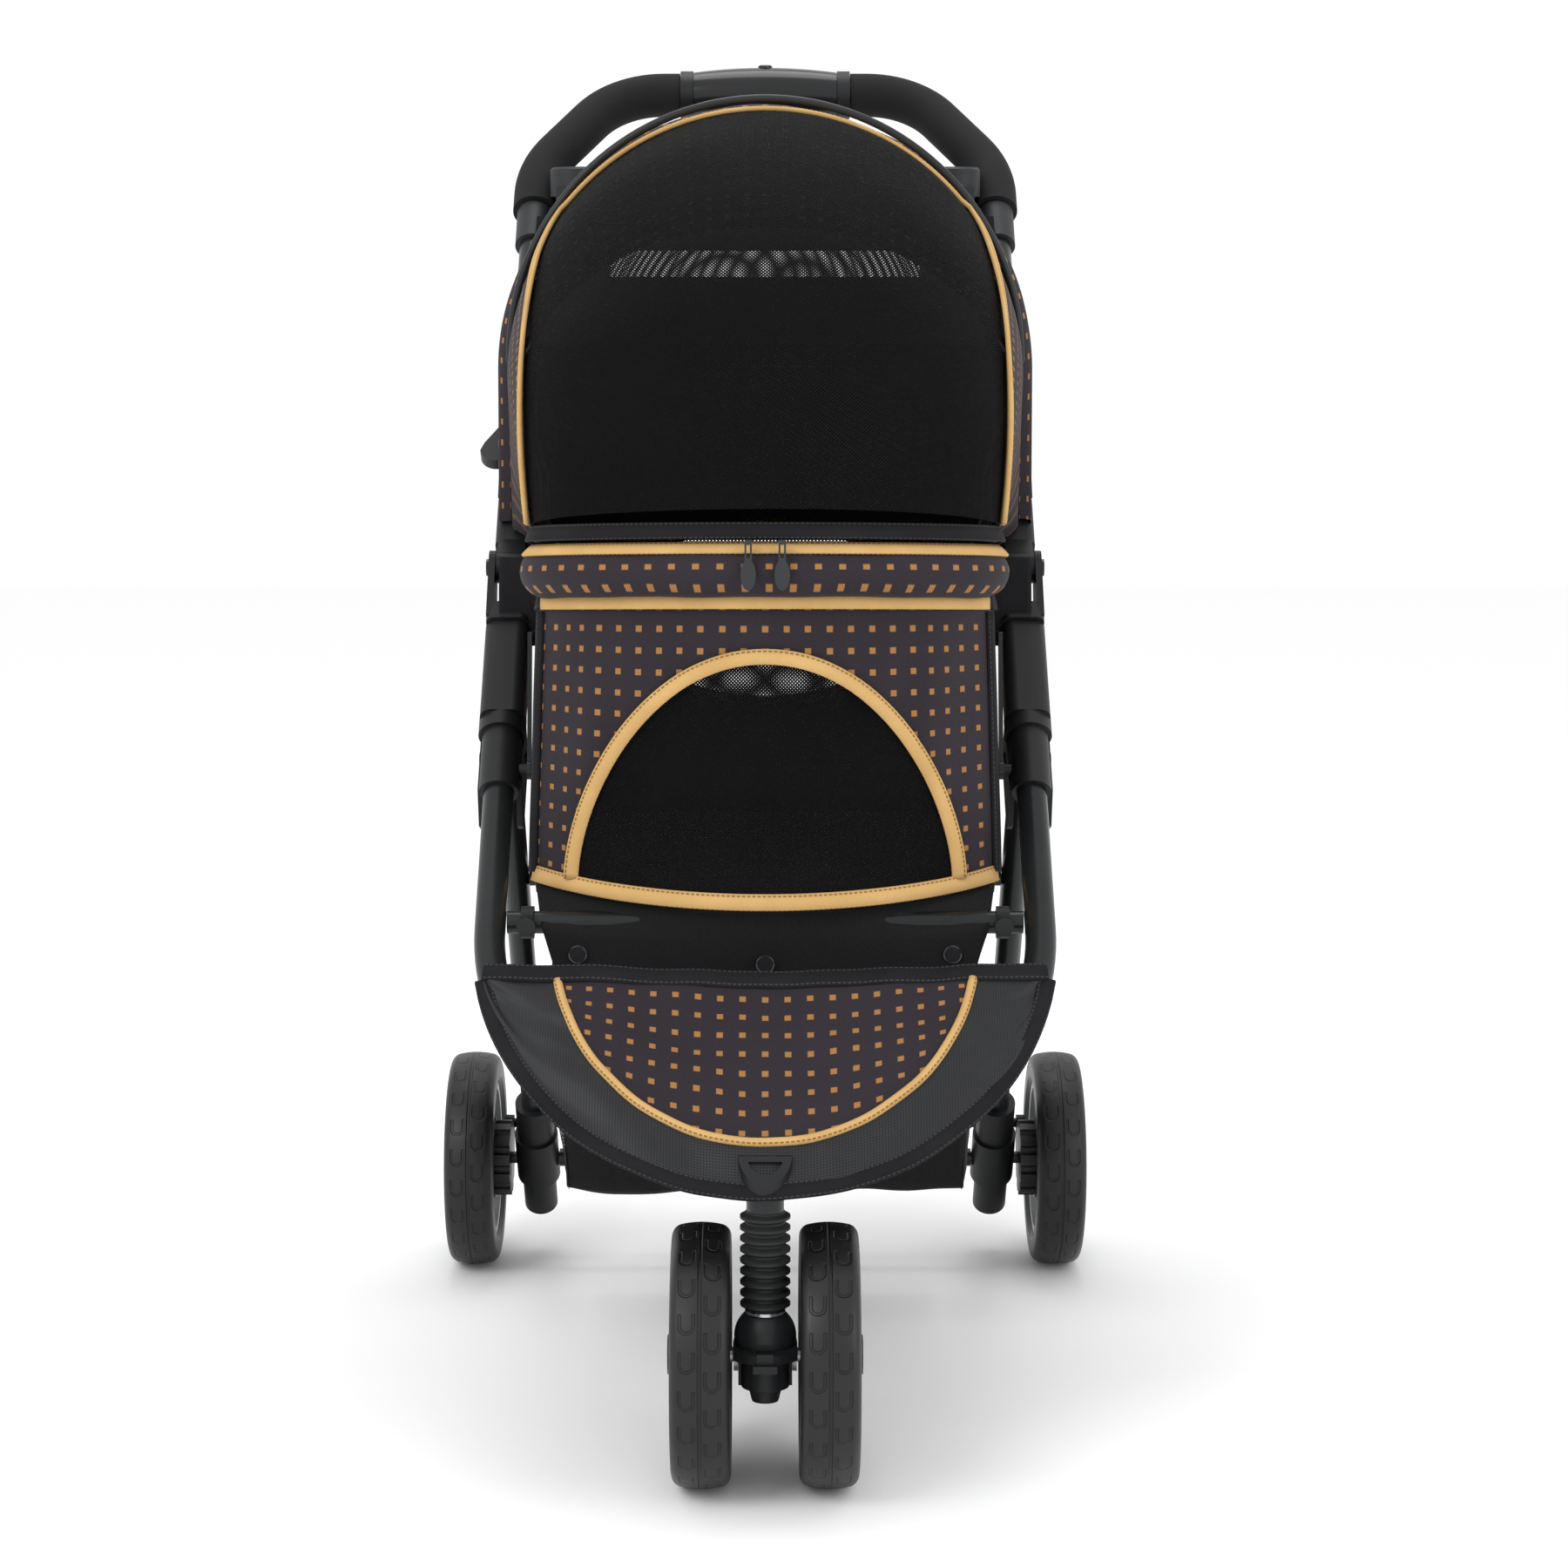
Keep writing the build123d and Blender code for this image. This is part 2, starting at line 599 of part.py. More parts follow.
# ---------------------------------------------------------------- handle frame
HANDLE_START_U = 352.0

with BuildPart() as handle_tubes:
    for side in SIDES:
        with BuildSketch(across_frame(side * TUBE_X, HANDLE_START_U, 0)):
            Circle(TUBE_R)
            Circle(TUBE_BORE_R, mode=Mode.SUBTRACT)
        extrude(amount=720 - HANDLE_START_U)
save(handle_tubes, "handle_tubes")

HANDLE_POINTS = [
    (-TUBE_X, 720), (-TUBE_X, HANDLE_CORNER_U), (-HANDLE_BEND_X, HANDLE_BAR_U),
    (HANDLE_BEND_X, HANDLE_BAR_U), (TUBE_X, HANDLE_CORNER_U), (TUBE_X, 720),
]
HANDLE_RADII = [95, 75, 75, 95]

with BuildPart() as handle_top_tube:
    with BuildLine(FRAME):
        FilletPolyline(*HANDLE_POINTS, radius=HANDLE_RADII)
    with BuildSketch(across_frame(-TUBE_X, 720, 0)):
        Circle(TUBE_R)
        Circle(TUBE_BORE_R, mode=Mode.SUBTRACT)
    sweep()
save(handle_top_tube, "handle_top_tube")

GRIP_END = 74.0

with BuildPart() as foam_grips:
    for side in SIDES:
        with BuildLine(FRAME):
            FilletPolyline(
                (side * TUBE_X, 730), (side * TUBE_X, HANDLE_CORNER_U), (side * HANDLE_BEND_X, HANDLE_BAR_U),
                (side * GRIP_END, HANDLE_BAR_U), radius=HANDLE_RADII[:2],
            )
        with BuildSketch(across_frame(side * TUBE_X, 730, 0)):
            Circle(GRIP_R)
            Circle(TUBE_R + SLIP, mode=Mode.SUBTRACT)
        sweep()
save(foam_grips, "foam_grips")

BAR_Y, BAR_Z = yz(HANDLE_BAR_U, 0)

with BuildPart() as grip_collars:
    for side in SIDES:
        with BuildSketch(side_plane(side * (HOUSING_HALF + 0.4))):
            with Locations((BAR_Y, BAR_Z)):
                Circle(20.5)
                Circle(TUBE_R + SLIP, mode=Mode.SUBTRACT)
        extrude(amount=side * 11)
save(grip_collars, "grip_collars")

SHELL = 2.5
TRIGGER_HALF = 34.0


def housing_builder(upper):
    """Half of the moulded case around the handle bar's middle, split on a level plane."""
    with BuildPart() as made:
        with BuildSketch(Plane.XY.offset(BAR_Z)):
            with BuildLine():
                ThreePointArc((-HOUSING_HALF, BAR_Y + 19.5), (0, BAR_Y + 23.5), (HOUSING_HALF, BAR_Y + 19.5))
                Polyline(
                    (HOUSING_HALF, BAR_Y + 19.5), (HOUSING_HALF, BAR_Y + TUBE_R + SLIP),
                    (-HOUSING_HALF, BAR_Y + TUBE_R + SLIP), (-HOUSING_HALF, BAR_Y + 19.5),
                )
            make_face()
        revolve(axis=Axis((0, BAR_Y, BAR_Z), (1, 0, 0)))
        # Room inside for the trigger and the lock wires
        with BuildSketch(Plane.XY.offset(BAR_Z)):
            with BuildLine():
                Polyline(
                    (-HOUSING_HALF + 6, BAR_Y + 17), (HOUSING_HALF - 6, BAR_Y + 17),
                    (HOUSING_HALF - 6, BAR_Y + TUBE_R), (-HOUSING_HALF + 6, BAR_Y + TUBE_R), close=True,
                )
            make_face()
        revolve(axis=Axis((0, BAR_Y, BAR_Z), (1, 0, 0)), mode=Mode.SUBTRACT)
        if upper:
            with BuildSketch(Plane.XY.offset(BAR_Z)):
                with Locations((0, BAR_Y)):
                    Circle(6.5)
            extrude(amount=40, mode=Mode.SUBTRACT)
        else:
            with BuildSketch(Plane.XY.offset(BAR_Z)):
                with Locations((0, BAR_Y)):
                    Rectangle(2 * TRIGGER_HALF + 1, 19)
            extrude(amount=-40, mode=Mode.SUBTRACT)
        split(bisect_by=Plane.XY.offset(BAR_Z), keep=Keep.TOP if upper else Keep.BOTTOM)
    return made


save(housing_builder(True), "handle_housing_upper")
save(housing_builder(False), "handle_housing_lower")

with BuildPart() as fold_trigger:
    with BuildSketch(Plane.XY.offset(BAR_Z - 26)):
        with Locations((0, BAR_Y)):
            RectangleRounded(2 * TRIGGER_HALF, 18, 4)
    extrude(amount=9)
    for slot in range(-3, 4):
        with BuildSketch(Plane.XY.offset(BAR_Z - 26)):
            with Locations((slot * 8, BAR_Y)):
                Rectangle(2, 14)
        extrude(amount=1.5, mode=Mode.SUBTRACT)
save(fold_trigger, "fold_trigger")

with BuildPart() as safety_button:
    with BuildSketch(Plane.XY.offset(BAR_Z + 15.2)):
        with Locations((0, BAR_Y)):
            Circle(6.2)
    extrude(amount=10.3)
    chamfer(safety_button.edges().sort_by(Axis.Z)[-1], 1)
save(safety_button, "safety_button")

# Hinge blocks: moulded knuckles on the handle tubes' lower ends, with studs for the canopy bows
BLOCK_HALF = 10.7
STUD_R = 4.0
STUD_IN, STUD_LENGTH = 9.0, 32.5

with BuildPart() as hinge_blocks:
    for side in SIDES:
        x = side * TUBE_X
        with BuildSketch(side_plane(x - BLOCK_HALF)):
            with BuildLine():
                Polyline(*lean_points((318, 3), (328, -13), (346, -15), (346, 15), (318, 25.5)), close=True)
            make_face()
            with Locations(yz(*FOLD_PIVOT_UN)):
                Circle(12)
        extrude(amount=2 * BLOCK_HALF)
        with BuildSketch(across_frame(x, 345, 0)):
            RectangleRounded(27, 30, 6)
        extrude(amount=46)
        with BuildSketch(across_frame(x, HANDLE_START_U, 0)):
            Circle(TUBE_R + SLIP)
        extrude(amount=60, mode=Mode.SUBTRACT)
        with BuildSketch(side_plane(x - 20)):
            with Locations(yz(*FOLD_PIVOT_UN)):
                Circle(PIN_R + RUNNING_GAP)
        extrude(amount=40, mode=Mode.SUBTRACT)
        with BuildSketch(side_plane(x - side * STUD_IN)):
            with Locations(yz(*CANOPY_PIVOT_UN)):
                Circle(STUD_R)
        extrude(amount=-side * (STUD_LENGTH - STUD_IN))
save(hinge_blocks, "hinge_blocks")

# Parent tray between the handle tubes, with two cup wells and a bin, held by collars on the tubes
TRAY_HALF, TRAY_FRONT, TRAY_BACK, TRAY_TOP = 180.0, 266.0, 372.0, 917.0
TRAY_FLOOR, TRAY_LIP = 893.0, 3.0
CUP_R, CUP_DEPTH, CUP_X = 36.0, 48.0, 128.0
CUP_Y = (TRAY_FRONT + TRAY_BACK) / 2

with BuildPart() as parent_tray:
    with BuildSketch(Plane.XY.offset(TRAY_FLOOR)):
        with Locations((0, CUP_Y)):
            RectangleRounded(2 * TRAY_HALF, TRAY_BACK - TRAY_FRONT, 22)
    extrude(amount=TRAY_TOP - TRAY_FLOOR)
    with BuildSketch(Plane.XY.offset(TRAY_TOP - CUP_DEPTH - 3)):
        with Locations((-CUP_X, CUP_Y), (CUP_X, CUP_Y)):
            Circle(CUP_R + 3)
    extrude(amount=CUP_DEPTH)
    with BuildSketch(Plane.XY.offset(TRAY_TOP - 34)):
        with Locations((0, CUP_Y)):
            RectangleRounded(152, 88, 14)
    extrude(amount=30)
    for side in SIDES:
        with BuildSketch(across_frame(side * TUBE_X, 688, 0)):
            Circle(TUBE_R + 3.8)
        extrude(amount=40)
        with BuildSketch(side_plane(side * 170)):
            with BuildLine():
                Polyline(*lean_points((690, -8), (690, 8), (727, 8), (727, -8)), close=True)
            make_face()
        extrude(amount=side * 14)
        with BuildSketch(side_plane(side * 166)):
            with BuildLine():
                Polyline((266, 856), (281, 846), (308, 873), (318, 900), (266, 900), close=True)
            make_face()
        extrude(amount=side * 8)
    for side in SIDES:
        with BuildSketch(across_frame(side * TUBE_X, 660, 0)):
            Circle(TUBE_R + SLIP)
        extrude(amount=90, mode=Mode.SUBTRACT)
        with BuildLine(FRAME):
            FilletPolyline(
                (side * TUBE_X, 729), (side * TUBE_X, HANDLE_CORNER_U), (side * HANDLE_BEND_X, HANDLE_BAR_U),
                (side * GRIP_END, HANDLE_BAR_U), radius=HANDLE_RADII[:2],
            )
        with BuildSketch(across_frame(side * TUBE_X, 729, 0)):
            Circle(GRIP_R + 1)
        sweep(mode=Mode.SUBTRACT)
    with BuildSketch(Plane.XY.offset(TRAY_TOP - CUP_DEPTH)):
        with Locations((-CUP_X, CUP_Y), (CUP_X, CUP_Y)):
            Circle(CUP_R)
    extrude(amount=CUP_DEPTH + 1, mode=Mode.SUBTRACT)
    with BuildSketch(Plane.XY.offset(TRAY_TOP - 31)):
        with Locations((0, CUP_Y)):
            RectangleRounded(146, 82, 12)
    extrude(amount=40, mode=Mode.SUBTRACT)
    chamfer(parent_tray.faces().sort_by(Axis.Z)[-1].outer_wire().edges(), 2)
save(parent_tray, "parent_tray")

# Hook that holds the folded frame shut, on the left handle tube
LATCH_U = 462.0

with BuildPart() as storage_latch:
    with BuildSketch(across_frame(-TUBE_X, LATCH_U - 22, 0)):
        Circle(TUBE_R + 3)
        Circle(TUBE_R + SLIP, mode=Mode.SUBTRACT)
    extrude(amount=34)
    with BuildSketch(FRAME):
        with BuildLine():
            Polyline((-TUBE_X - 12, LATCH_U + 22), (-TUBE_X - 28, LATCH_U - 4), (-TUBE_X - 31, LATCH_U - 12))
            ThreePointArc(
                (-TUBE_X - 31, LATCH_U - 12), (-TUBE_X - 28, LATCH_U - 19), (-TUBE_X - 12.5, LATCH_U - 22)
            )
            Line((-TUBE_X - 12.5, LATCH_U - 22), (-TUBE_X - 12, LATCH_U + 22))
        make_face()
    extrude(amount=5, both=True)
save(storage_latch, "storage_latch")

# ---------------------------------------------------------------- canopy
CANOPY_YZ = yz(*CANOPY_PIVOT_UN)
BOW_FOOT_X = 176.0
BOW_R = 3.0


def canopy_plane(angle):
    """Plane through the canopy pivots at an angle above the row's +Y. Its y axis runs out from the pivots."""
    normal = (0, -sin(radians(angle)), cos(radians(angle)))
    return Plane(origin=(0, *CANOPY_YZ), x_dir=(1, 0, 0), z_dir=normal)


KNEE = 60.0


def bow_builder(angle, foot_x, arch_r):
    """Canopy bow: a wire hoop with an eye round each pivot stud."""
    plane = canopy_plane(angle)
    centre = plane.from_local_coords((0, CANOPY_ARCH_CENTRE, 0))
    with BuildPart() as made:
        for side in SIDES:
            foot, knee, shoulder = (
                plane.from_local_coords((side * x, y, 0))
                for x, y in ((foot_x, 6), (foot_x, KNEE), (arch_r, CANOPY_ARCH_CENTRE))
            )
            for start, end in ((foot, knee), (knee, shoulder)):
                with BuildSketch(Plane(origin=start, z_dir=end - start)):
                    Circle(BOW_R)
                extrude(amount=(end - start).length)
                with Locations(end):
                    Sphere(BOW_R + 0.5)
        with BuildSketch(Plane(origin=shoulder, x_dir=(1, 0, 0), z_dir=plane.y_dir)):
            Circle(BOW_R)
        revolve(axis=Axis(centre, plane.z_dir), revolution_arc=180)
        for side in SIDES:
            with BuildSketch(side_plane(side * foot_x - 2.6)):
                with Locations(CANOPY_YZ):
                    Circle(9)
            extrude(amount=5.2)
            with BuildSketch(side_plane(side * foot_x - 4)):
                with Locations(CANOPY_YZ):
                    Circle(STUD_R + RUNNING_GAP)
            extrude(amount=8, mode=Mode.SUBTRACT)
    return made


save(bow_builder(REAR_BOW_DEG, BOW_FOOT_X, REAR_ARCH_R), "canopy_rear_bow")
save(bow_builder(FRONT_BOW_DEG, BOW_FOOT_X - 6.5, CANOPY_ARCH_R), "canopy_front_bow")

# Ratchet discs that carry the canopy as it turns about the studs
with BuildPart() as canopy_hubs:
    for side in SIDES:
        with BuildSketch(side_plane(side * 162)):
            with Locations(CANOPY_YZ):
                Circle(14)
                with PolarLocations(14, 12):
                    Circle(1.6, mode=Mode.SUBTRACT)
                Circle(STUD_R + RUNNING_GAP, mode=Mode.SUBTRACT)
        extrude(amount=side * 4)
save(canopy_hubs, "canopy_hubs")


BAND_FOOT = 64.0


def canopy_band(start, end):
    """Part of the canopy cloth: the arch turned about the pivots from one angle to the other."""
    inner, outer = 206.5, 208.5
    with BuildPart() as made:
        with BuildSketch(canopy_plane(start)):
            with BuildLine():
                Line((-outer, BAND_FOOT), (-outer, CANOPY_ARCH_CENTRE))
                ThreePointArc(
                    (-outer, CANOPY_ARCH_CENTRE), (0, CANOPY_ARCH_CENTRE + outer), (outer, CANOPY_ARCH_CENTRE)
                )
                Polyline(
                    (outer, CANOPY_ARCH_CENTRE), (outer, BAND_FOOT), (inner, BAND_FOOT), (inner, CANOPY_ARCH_CENTRE)
                )
                ThreePointArc(
                    (inner, CANOPY_ARCH_CENTRE), (0, CANOPY_ARCH_CENTRE + inner), (-inner, CANOPY_ARCH_CENTRE)
                )
                Polyline((-inner, CANOPY_ARCH_CENTRE), (-inner, BAND_FOOT), (-outer, BAND_FOOT))
            make_face()
        revolve(axis=Axis((0, *CANOPY_YZ), (1, 0, 0)), revolution_arc=end - start)
    return made


save(canopy_band(49.5, REAR_BOW_DEG - 0.1), "canopy_rear_panel")
save(canopy_band(REAR_BOW_DEG + 0.1, FRONT_BOW_DEG), "canopy_front_panel")


MESH_FOOT, MESH_WALL = 46.0, 2.0
# Cuts through the front mesh: (angle, half width, start of its round top, reach from the pivots)
MESH_CUTS = (
    (FRONT_BOW_DEG + 0.4, 201.0, 149.0, 350.0), (118.0, 200.0, 152.0, 343.0),
    (145.0, 186.0, 172.0, 330.0), (170.5, 169.5, 205.0, 318.0),
)

with BuildPart() as front_mesh:
    for angle, half, centre, reach in MESH_CUTS:
        inner = half - MESH_WALL
        with BuildSketch(canopy_plane(angle)):
            with BuildLine():
                Line((-half, MESH_FOOT), (-half, centre))
                EllipticalCenterArc((0, centre), half, reach - centre, 0, arc_size=180)
                Polyline((half, centre), (half, MESH_FOOT), (inner, MESH_FOOT), (inner, centre))
                EllipticalCenterArc((0, centre), inner, reach - centre - MESH_WALL, 0, arc_size=180)
                Polyline((-inner, centre), (-inner, MESH_FOOT), (-half, MESH_FOOT))
            make_face()
    loft()
save(front_mesh, "front_mesh")


def ring_strip(half, straight_end, front, height, strip_size, rounded=False):
    """Strip that follows the bumper ring at a height over the ring's plane."""
    start = -48.0
    with BuildPart() as made:
        with BuildLine(RING.offset(height)):
            Line((-half, start), (-half, straight_end))
            EllipticalCenterArc((0, straight_end), half, straight_end - front, 180, arc_size=180)
            Line((half, straight_end), (half, start))
        foot = RING.offset(height).from_local_coords((-half, start, 0))
        with BuildSketch(Plane(origin=foot, x_dir=(1, 0, 0), z_dir=-RING.y_dir)):
            if rounded:
                Ellipse(*strip_size)
            else:
                Rectangle(*strip_size)
        sweep()
    return made


ROLL_PATH = (154.0, -205.0, -298.0)
save(ring_strip(*ROLL_PATH, 0.0, ROLL_HALF, rounded=True), "bumper_roll")
save(ring_strip(156.0, -205.0, -300.0, 21.2, (14.0, 2.2)), "zipper")
save(ring_strip(165.0, -205.0, -312.0, 25.0, (4.0, 4.0)), "mesh_hem")

PULL_X = 11.5
PULL_HINGE = (RING.offset(18.0) * Location((0, -323.0, 0))).position

with BuildPart() as zip_pulls:
    for side in SIDES:
        with BuildSketch(Plane.XZ.offset(-PULL_HINGE.Y)):
            with Locations((side * PULL_X, PULL_HINGE.Z - 6)):
                Rectangle(5, 14)
                Rectangle(2.4, 9, mode=Mode.SUBTRACT)
            with Locations((side * PULL_X, PULL_HINGE.Z - 22)):
                Ellipse(5.2, 10.5)
        extrude(amount=1.3, both=True)
        # Round bar that the pull swings on
        with BuildSketch(side_plane(side * PULL_X - 2.5)):
            with Locations((PULL_HINGE.Y, PULL_HINGE.Z)):
                Circle(1.7)
        extrude(amount=5)
save(zip_pulls, "zip_pulls")

# ---------------------------------------------------------------- cabin, soft pieces
FRONT_ARC_LOW = (-168.0, -228.0)  # y at the sides and in the middle
FRONT_ARC_HIGH = (-205.0, -290.0)  # the same on the ring's plane, in its own v


def front_wall():
    """Curved front wall between the floor and the bumper's underside."""
    with BuildPart() as made:
        for plane, (edge, middle), half in (
            (Plane.XY.offset(FLOOR_Z), FRONT_ARC_LOW, CABIN_HALF),
            (RING.offset(-21.5), FRONT_ARC_HIGH, 158.0),
        ):
            with BuildSketch(plane):
                with BuildLine():
                    ThreePointArc((-half, edge), (0, middle), (half, edge))
                    Line((half, edge), (half - 0.5, edge + WALL))
                    ThreePointArc((half - 0.5, edge + WALL), (0, middle + WALL), (-half + 0.5, edge + WALL))
                    Line((-half + 0.5, edge + WALL), (-half, edge))
                make_face()
        loft()
    return made.part


WINDOW_TOP, WINDOW_FOOT, WINDOW_HALF = 553.0, 380.0, 140.0


def window_column(grow):
    """Solid that cuts the arched window out of the front wall, seen square on from the front."""
    with BuildPart() as made:
        with BuildSketch(Plane.XZ.offset(400)):
            with BuildLine():
                Line((-WINDOW_HALF - grow, WINDOW_FOOT - grow), (WINDOW_HALF + grow, WINDOW_FOOT - grow))
                Spline(
                    (WINDOW_HALF + grow, WINDOW_FOOT - grow), (112 + grow, 475), (70, 532 + grow),
                    (0, WINDOW_TOP + grow), (-70, 532 + grow), (-112 - grow, 475),
                    (-WINDOW_HALF - grow, WINDOW_FOOT - grow),
                )
            make_face()
        extrude(amount=-300)
    return made.part


with BuildPart() as cabin_front_panel:
    add(front_wall())
    add(window_column(0.15), mode=Mode.SUBTRACT)
save(cabin_front_panel, "cabin_front_panel")

BACK_Y = 191.0
BACK_TOP = 760.0
REAR_WINDOW = (542.0, 100.0, 80.0)  # z, half width, half height

with BuildPart() as window_meshes:
    add(front_wall())
    add(window_column(-0.15), mode=Mode.INTERSECT)
    with BuildSketch(Plane.XZ.offset(-BACK_Y - WALL)):
        with Locations((0, REAR_WINDOW[0])):
            Ellipse(REAR_WINDOW[1] - 0.15, REAR_WINDOW[2] - 0.15)
    extrude(amount=WALL)
save(window_meshes, "window_meshes")

with BuildPart() as cabin_back_panel:
    with BuildSketch(Plane.XZ.offset(-BACK_Y - WALL)):
        with BuildLine():
            Polyline(
                (-CABIN_HALF + 4.5, FLOOR_Z), (CABIN_HALF - 4.5, FLOOR_Z), (CABIN_HALF - 4.5, BACK_TOP),
                (-CABIN_HALF + 4.5, BACK_TOP), close=True,
            )
        make_face()
        with Locations((0, REAR_WINDOW[0])):
            Ellipse(REAR_WINDOW[1] + 0.15, REAR_WINDOW[2] + 0.15, mode=Mode.SUBTRACT)
    extrude(amount=WALL)
save(cabin_back_panel, "cabin_back_panel")

with BuildPart() as cabin_sides:
    for side in SIDES:
        with BuildSketch(side_plane(side * (CABIN_HALF - WALL))):
            with BuildLine():
                Polyline(
                    (FRONT_ARC_LOW[0] + 5, FLOOR_Z), (BACK_Y + WALL, FLOOR_Z), (BACK_Y + WALL, 744),
                    (40, 588), (22, 570), (FRONT_ARC_LOW[0] + 5, 584), close=True,
                )
            make_face()
        extrude(amount=side * WALL)
save(cabin_sides, "cabin_sides")


def floor_slab(inset, bottom, thickness, edge_radius=0.0):
    """Flat layer of the cabin floor, set in from the walls."""
    half = CABIN_HALF - WALL - inset
    edge, middle = FRONT_ARC_LOW
    with BuildPart() as made:
        with BuildSketch(Plane.XY.offset(bottom)):
            with BuildLine():
                ThreePointArc((-half, edge + 5), (0, middle + WALL + inset), (half, edge + 5))
                Polyline((half, edge + 5), (half, BACK_Y - inset), (-half, BACK_Y - inset), (-half, edge + 5))
            make_face()
        extrude(amount=thickness)
        if edge_radius:
            fillet(made.edges().group_by(Axis.Z)[-1], edge_radius)
    return made


save(floor_slab(0.5, FLOOR_Z, 4), "cabin_floor")
save(floor_slab(4, FLOOR_Z + 4.5, 18, 6), "floor_pad")

with BuildPart() as rear_upper_panel:
    with BuildSketch(FRAME.offset(-14)):
        with BuildLine():
            Polyline((-160, 592), (160, 592), (160, 660), (-160, 660), close=True)
        make_face()
    extrude(amount=3)
save(rear_upper_panel, "rear_upper_panel")

APRON_TOP_U, APRON_CENTRE_U, APRON_R = -66.0, -28.0, 206.0

with BuildPart() as front_apron:
    with BuildSketch(FRAME.offset(APRON_UNDER)):
        with BuildLine():
            corner = sqrt(APRON_R**2 - (APRON_TOP_U - APRON_CENTRE_U) ** 2)
            Line((-corner, APRON_TOP_U), (corner, APRON_TOP_U))
            ThreePointArc((corner, APRON_TOP_U), (0, APRON_CENTRE_U - APRON_R), (-corner, APRON_TOP_U))
        make_face()
    extrude(amount=3)
save(front_apron, "front_apron")

BASKET_HALF = 152.0
BASKET_OUT = [(-197, 350), (-78, 130), (150, 122), (172, 205)]
BASKET_IN = [(-193, 351), (-75.7, 133.2), (147.7, 125.2), (169, 206)]

with BuildPart() as storage_basket:
    with BuildSketch(side_plane(-BASKET_HALF)):
        with BuildLine():
            Polyline(*BASKET_OUT, close=True)
        make_face()
    extrude(amount=2 * BASKET_HALF)
    with BuildSketch(side_plane(-BASKET_HALF + 3)):
        with BuildLine():
            Polyline(*BASKET_IN, (169, 420), (-193, 420), close=True)
        make_face()
    extrude(amount=2 * BASKET_HALF - 6, mode=Mode.SUBTRACT)
    # Flap that hangs in front of the crossbar
    with BuildSketch(Plane.XZ.offset(-CROSSBAR_Y + 11)):
        with Locations((0, 341)):
            RectangleRounded(2 * BASKET_HALF + 8, 38, 12)
    extrude(amount=2.5)
save(storage_basket, "storage_basket")

with BuildPart() as basket_snaps:
    with BuildSketch(Plane.XZ.offset(-CROSSBAR_Y + 13.6)):
        with Locations((-132, 341), (0, 334), (132, 341)):
            Circle(6.5)
    extrude(amount=2.5)
    chamfer(basket_snaps.faces().filter_by(Axis.Y).sort_by(Axis.Y)[0:3].edges(), 0.8)
save(basket_snaps, "basket_snaps")

# ---------------------------------------------------------------- side links
LINK_YZ = yz(*LINK_PIVOT_UN)
LINK_TOP = (LINK_YZ[0] + 18, LINK_YZ[1] + 96)

with BuildPart() as side_links:
    for side in SIDES:
        with BuildSketch(side_plane(side * 174)):
            with Locations(LINK_YZ):
                Circle(7)
            with Locations(LINK_TOP):
                Circle(4)
            with BuildLine():
                Polyline(
                    (LINK_YZ[0] - 3.2, LINK_YZ[1]), (LINK_YZ[0] + 3.2, LINK_YZ[1]), (LINK_TOP[0] + 3.2, LINK_TOP[1]),
                    (LINK_TOP[0] - 3.2, LINK_TOP[1]), close=True,
                )
            make_face()
            with Locations(LINK_YZ):
                Circle(4.5 + RUNNING_GAP, mode=Mode.SUBTRACT)
        extrude(amount=-side * 3)
save(side_links, "side_links")
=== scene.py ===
"""Looks of the pet stroller.

The hard pieces are the CAD's, with materials on them. Sewn cloth, nets and padding made here stand in
for the soft ones.
"""

import json
import math

import bmesh
import bpy
import numpy as np
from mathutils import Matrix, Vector, noise

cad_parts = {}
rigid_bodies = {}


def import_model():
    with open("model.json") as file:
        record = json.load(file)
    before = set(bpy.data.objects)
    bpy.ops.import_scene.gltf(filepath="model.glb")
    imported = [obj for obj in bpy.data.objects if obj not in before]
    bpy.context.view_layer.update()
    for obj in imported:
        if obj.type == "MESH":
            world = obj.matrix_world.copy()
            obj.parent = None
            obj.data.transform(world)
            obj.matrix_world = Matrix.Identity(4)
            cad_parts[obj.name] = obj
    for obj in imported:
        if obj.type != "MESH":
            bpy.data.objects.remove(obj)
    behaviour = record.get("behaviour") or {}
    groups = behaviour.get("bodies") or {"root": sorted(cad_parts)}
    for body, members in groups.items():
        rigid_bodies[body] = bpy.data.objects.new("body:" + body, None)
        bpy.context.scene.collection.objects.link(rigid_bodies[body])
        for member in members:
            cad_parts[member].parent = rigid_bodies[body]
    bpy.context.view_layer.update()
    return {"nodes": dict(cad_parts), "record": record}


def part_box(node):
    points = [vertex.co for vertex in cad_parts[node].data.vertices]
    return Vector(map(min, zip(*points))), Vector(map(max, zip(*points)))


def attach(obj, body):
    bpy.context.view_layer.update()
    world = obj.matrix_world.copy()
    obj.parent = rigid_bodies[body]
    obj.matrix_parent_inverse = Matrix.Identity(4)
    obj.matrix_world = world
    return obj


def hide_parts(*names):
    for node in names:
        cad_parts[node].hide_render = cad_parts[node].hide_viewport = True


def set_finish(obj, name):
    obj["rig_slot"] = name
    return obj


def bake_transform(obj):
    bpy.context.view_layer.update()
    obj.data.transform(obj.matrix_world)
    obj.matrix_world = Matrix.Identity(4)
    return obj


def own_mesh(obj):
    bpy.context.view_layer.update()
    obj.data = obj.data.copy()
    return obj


# ---------------------------------------------------------------- camera, world, lights
for o in list(bpy.data.objects):
    bpy.data.objects.remove(o)
scene = bpy.context.scene
cam_data = bpy.data.cameras.new("camera")
cam_data.sensor_width = 36.0
cam_data.lens = 75.4
cam_data.shift_x = 0.012
camera = bpy.data.objects.new("camera", cam_data)
